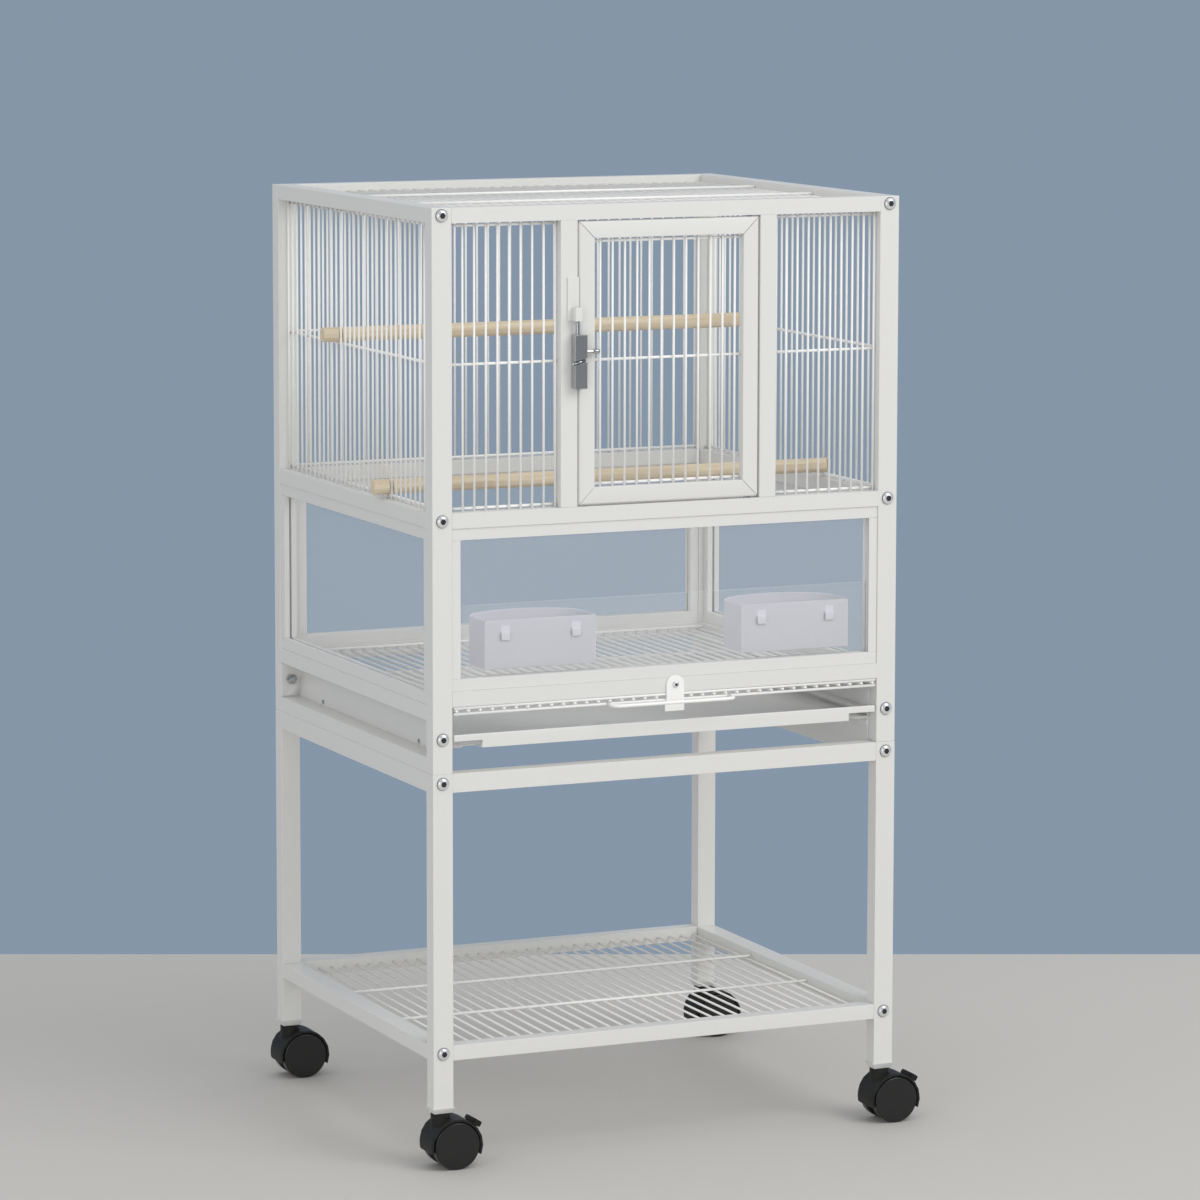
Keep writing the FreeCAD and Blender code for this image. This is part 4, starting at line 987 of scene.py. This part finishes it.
class CAGE_OT_perches(bpy.types.Operator):
    """Draws the round wooden perches with their notched ends"""

    bl_idname = "cage.perches"
    bl_label = "Perches"

    def execute(self, context):
        sizes = context.scene.cage_sizes
        post_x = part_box("front_rails")[1].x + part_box("cage_posts_front")[1].x
        notch_in = post_x / 2 - sizes.perch_notch / 2
        notch_out = post_x / 2 + sizes.perch_notch / 2
        neck = sizes.perch_neck / 2
        for node in ("upper_perch", "lower_perch"):
            low, high = box_of(node)
            radius = (high[Z] - low[Z]) / 2
            edge = radius / 8
            stations = [(low[X], radius - edge, radius), (low[X] + edge, radius, radius), (-notch_out, radius, radius),
                        (-notch_out, radius, neck), (-notch_in, radius, neck), (-notch_in, radius, radius),
                        (notch_in, radius, radius), (notch_in, radius, neck), (high[X], radius, neck)]
            rows = np.stack([perch_section(*station, sizes.round_sides) for station in stations])
            rows += [0.0, *middle_of(node)[Y:]]
            points, faces = join_surfaces([rows[:, ::-1]])
            piece = dress(put_mesh(node + "_rod", points, faces), node)
            piece.data.set_sharp_from_angle(angle=CREASE)
        return {"FINISHED"}


def lamp(name, power, width, place, target, tint):
    """A square lamp at a place, aimed at a point."""
    data = bpy.data.lights.new(name, "AREA")
    data.energy = power
    data.size = width
    data.color = tint
    light = bpy.data.objects.new(name, data)
    light.location = place
    light.rotation_euler = (Vector(target) - Vector(place)).to_track_quat("-Z", "Y").to_euler()
    bpy.context.scene.collection.objects.link(light)


class CAGE_OT_stage(bpy.types.Operator):
    """Sets the floor, the backdrop, the lamps and the camera"""

    bl_idname = "cage.stage"
    bl_label = "Stage"

    def execute(self, context):
        scene = context.scene
        settings = scene.cage_stage
        colours = scene.cage_colours
        scene.view_settings.view_transform = "Standard"
        self.ground(colours, settings)
        self.sky(scene, settings)
        target = settings.lamp_target
        lamp("key_lamp", settings.key_power, settings.key_width, settings.key_place, target, colours.key)
        lamp("top_lamp", settings.top_power, settings.top_width, settings.top_place, target, colours.top)
        lamp("fill_lamp", settings.fill_power, settings.fill_width, settings.fill_place, target, colours.fill)
        self.camera(scene, settings)
        return {"FINISHED"}

    def ground(self, colours, settings):
        """A wide flat floor, turned to face the camera, that ends a little way behind the cage."""
        ahead = np.array([math.sin(settings.yaw), math.cos(settings.yaw), 0.0])
        right = np.array([ahead[Y], -ahead[X], 0.0])
        reach = settings.floor_reach
        corners = np.array([right * side * reach + ahead * far
                            for side, far in ((-1, -reach), (1, -reach), (1, settings.floor_behind),
                                              (-1, settings.floor_behind))])
        floor = put_mesh("floor", corners, [[0, 1, 2, 3]], smooth=False)
        material, _, shader = new_finish("plain_floor")
        shader.inputs["Base Color"].default_value = (*colours.floor, 1.0)
        shader.inputs["Roughness"].default_value = 0.6
        floor.data.materials.append(material)

    def sky(self, scene, settings):
        """Even light from all round, and a plain backdrop that the camera, metal and clear sheet see."""
        world = bpy.data.worlds.new("plain_sky")
        scene.world = world
        world.use_nodes = True
        tree = world.node_tree
        light = tree.nodes["Background"]
        light.inputs["Color"].default_value = (1.0, 1.0, 1.0, 1.0)
        light.inputs["Strength"].default_value = settings.sky
        seen = tree.nodes.new("ShaderNodeBackground")
        seen.inputs["Color"].default_value = (*scene.cage_colours.backdrop, 1.0)
        path = tree.nodes.new("ShaderNodeLightPath")
        mirror = tree.nodes.new("ShaderNodeMath")
        mirror.operation = "MAXIMUM"
        shown = tree.nodes.new("ShaderNodeMath")
        shown.operation = "MAXIMUM"
        mix = tree.nodes.new("ShaderNodeMixShader")
        tree.links.new(path.outputs["Is Glossy Ray"], mirror.inputs[0])
        tree.links.new(path.outputs["Is Transmission Ray"], mirror.inputs[1])
        tree.links.new(path.outputs["Is Camera Ray"], shown.inputs[0])
        tree.links.new(mirror.outputs["Value"], shown.inputs[1])
        tree.links.new(shown.outputs["Value"], mix.inputs["Fac"])
        tree.links.new(light.outputs["Background"], mix.inputs[1])
        tree.links.new(seen.outputs["Background"], mix.inputs[2])
        tree.links.new(mix.outputs["Shader"], tree.nodes["World Output"].inputs["Surface"])

    def camera(self, scene, settings):
        """The camera at the photograph's viewing angle."""
        data = bpy.data.cameras.new("camera")
        data.lens = settings.lens
        data.sensor_width = 36.0
        data.shift_x = settings.shift_x
        data.shift_y = settings.shift_y
        data.clip_end = 100.0
        camera = bpy.data.objects.new("camera", data)
        camera.location = settings.camera
        camera.rotation_euler = (math.pi / 2 + settings.pitch, 0.0, -settings.yaw)
        scene.collection.objects.link(camera)
        scene.camera = camera


class CAGE_PT_panel(bpy.types.Panel):
    """Lists the cage's pieces"""

    bl_idname = "CAGE_PT_panel"
    bl_label = "Bird Cage"
    bl_space_type = "VIEW_3D"
    bl_region_type = "UI"
    bl_category = "Bird Cage"

    def draw(self, context):
        for operator in OPERATORS:
            self.layout.operator(operator.bl_idname)


OPERATORS = (CAGE_OT_finishes, CAGE_OT_tubes, CAGE_OT_sheets, CAGE_OT_panes, CAGE_OT_wall_wires, CAGE_OT_deck_wires,
             CAGE_OT_grate, CAGE_OT_bolts, CAGE_OT_latch, CAGE_OT_casters, CAGE_OT_perches, CAGE_OT_stage)
CLASSES = (CageSizes, CageColours, StageSettings) + OPERATORS + (CAGE_PT_panel,)


def register():
    """Adds the classes and the scene's settings."""
    for item in CLASSES:
        bpy.utils.register_class(item)
    bpy.types.Scene.cage_sizes = PointerProperty(type=CageSizes)
    bpy.types.Scene.cage_colours = PointerProperty(type=CageColours)
    bpy.types.Scene.cage_stage = PointerProperty(type=StageSettings)


def unregister():
    """Takes the settings and the classes away again."""
    del bpy.types.Scene.cage_stage
    del bpy.types.Scene.cage_colours
    del bpy.types.Scene.cage_sizes
    for item in reversed(CLASSES):
        bpy.utils.unregister_class(item)


def main():
    """Builds every piece in order."""
    register()
    bpy.ops.cage.finishes()
    bpy.ops.cage.tubes()
    bpy.ops.cage.sheets()
    bpy.ops.cage.panes()
    bpy.ops.cage.wall_wires()
    bpy.ops.cage.deck_wires()
    bpy.ops.cage.grate()
    bpy.ops.cage.bolts()
    bpy.ops.cage.latch()
    bpy.ops.cage.casters()
    bpy.ops.cage.perches()
    bpy.ops.cage.stage()


if __name__ == "__main__":
    main()
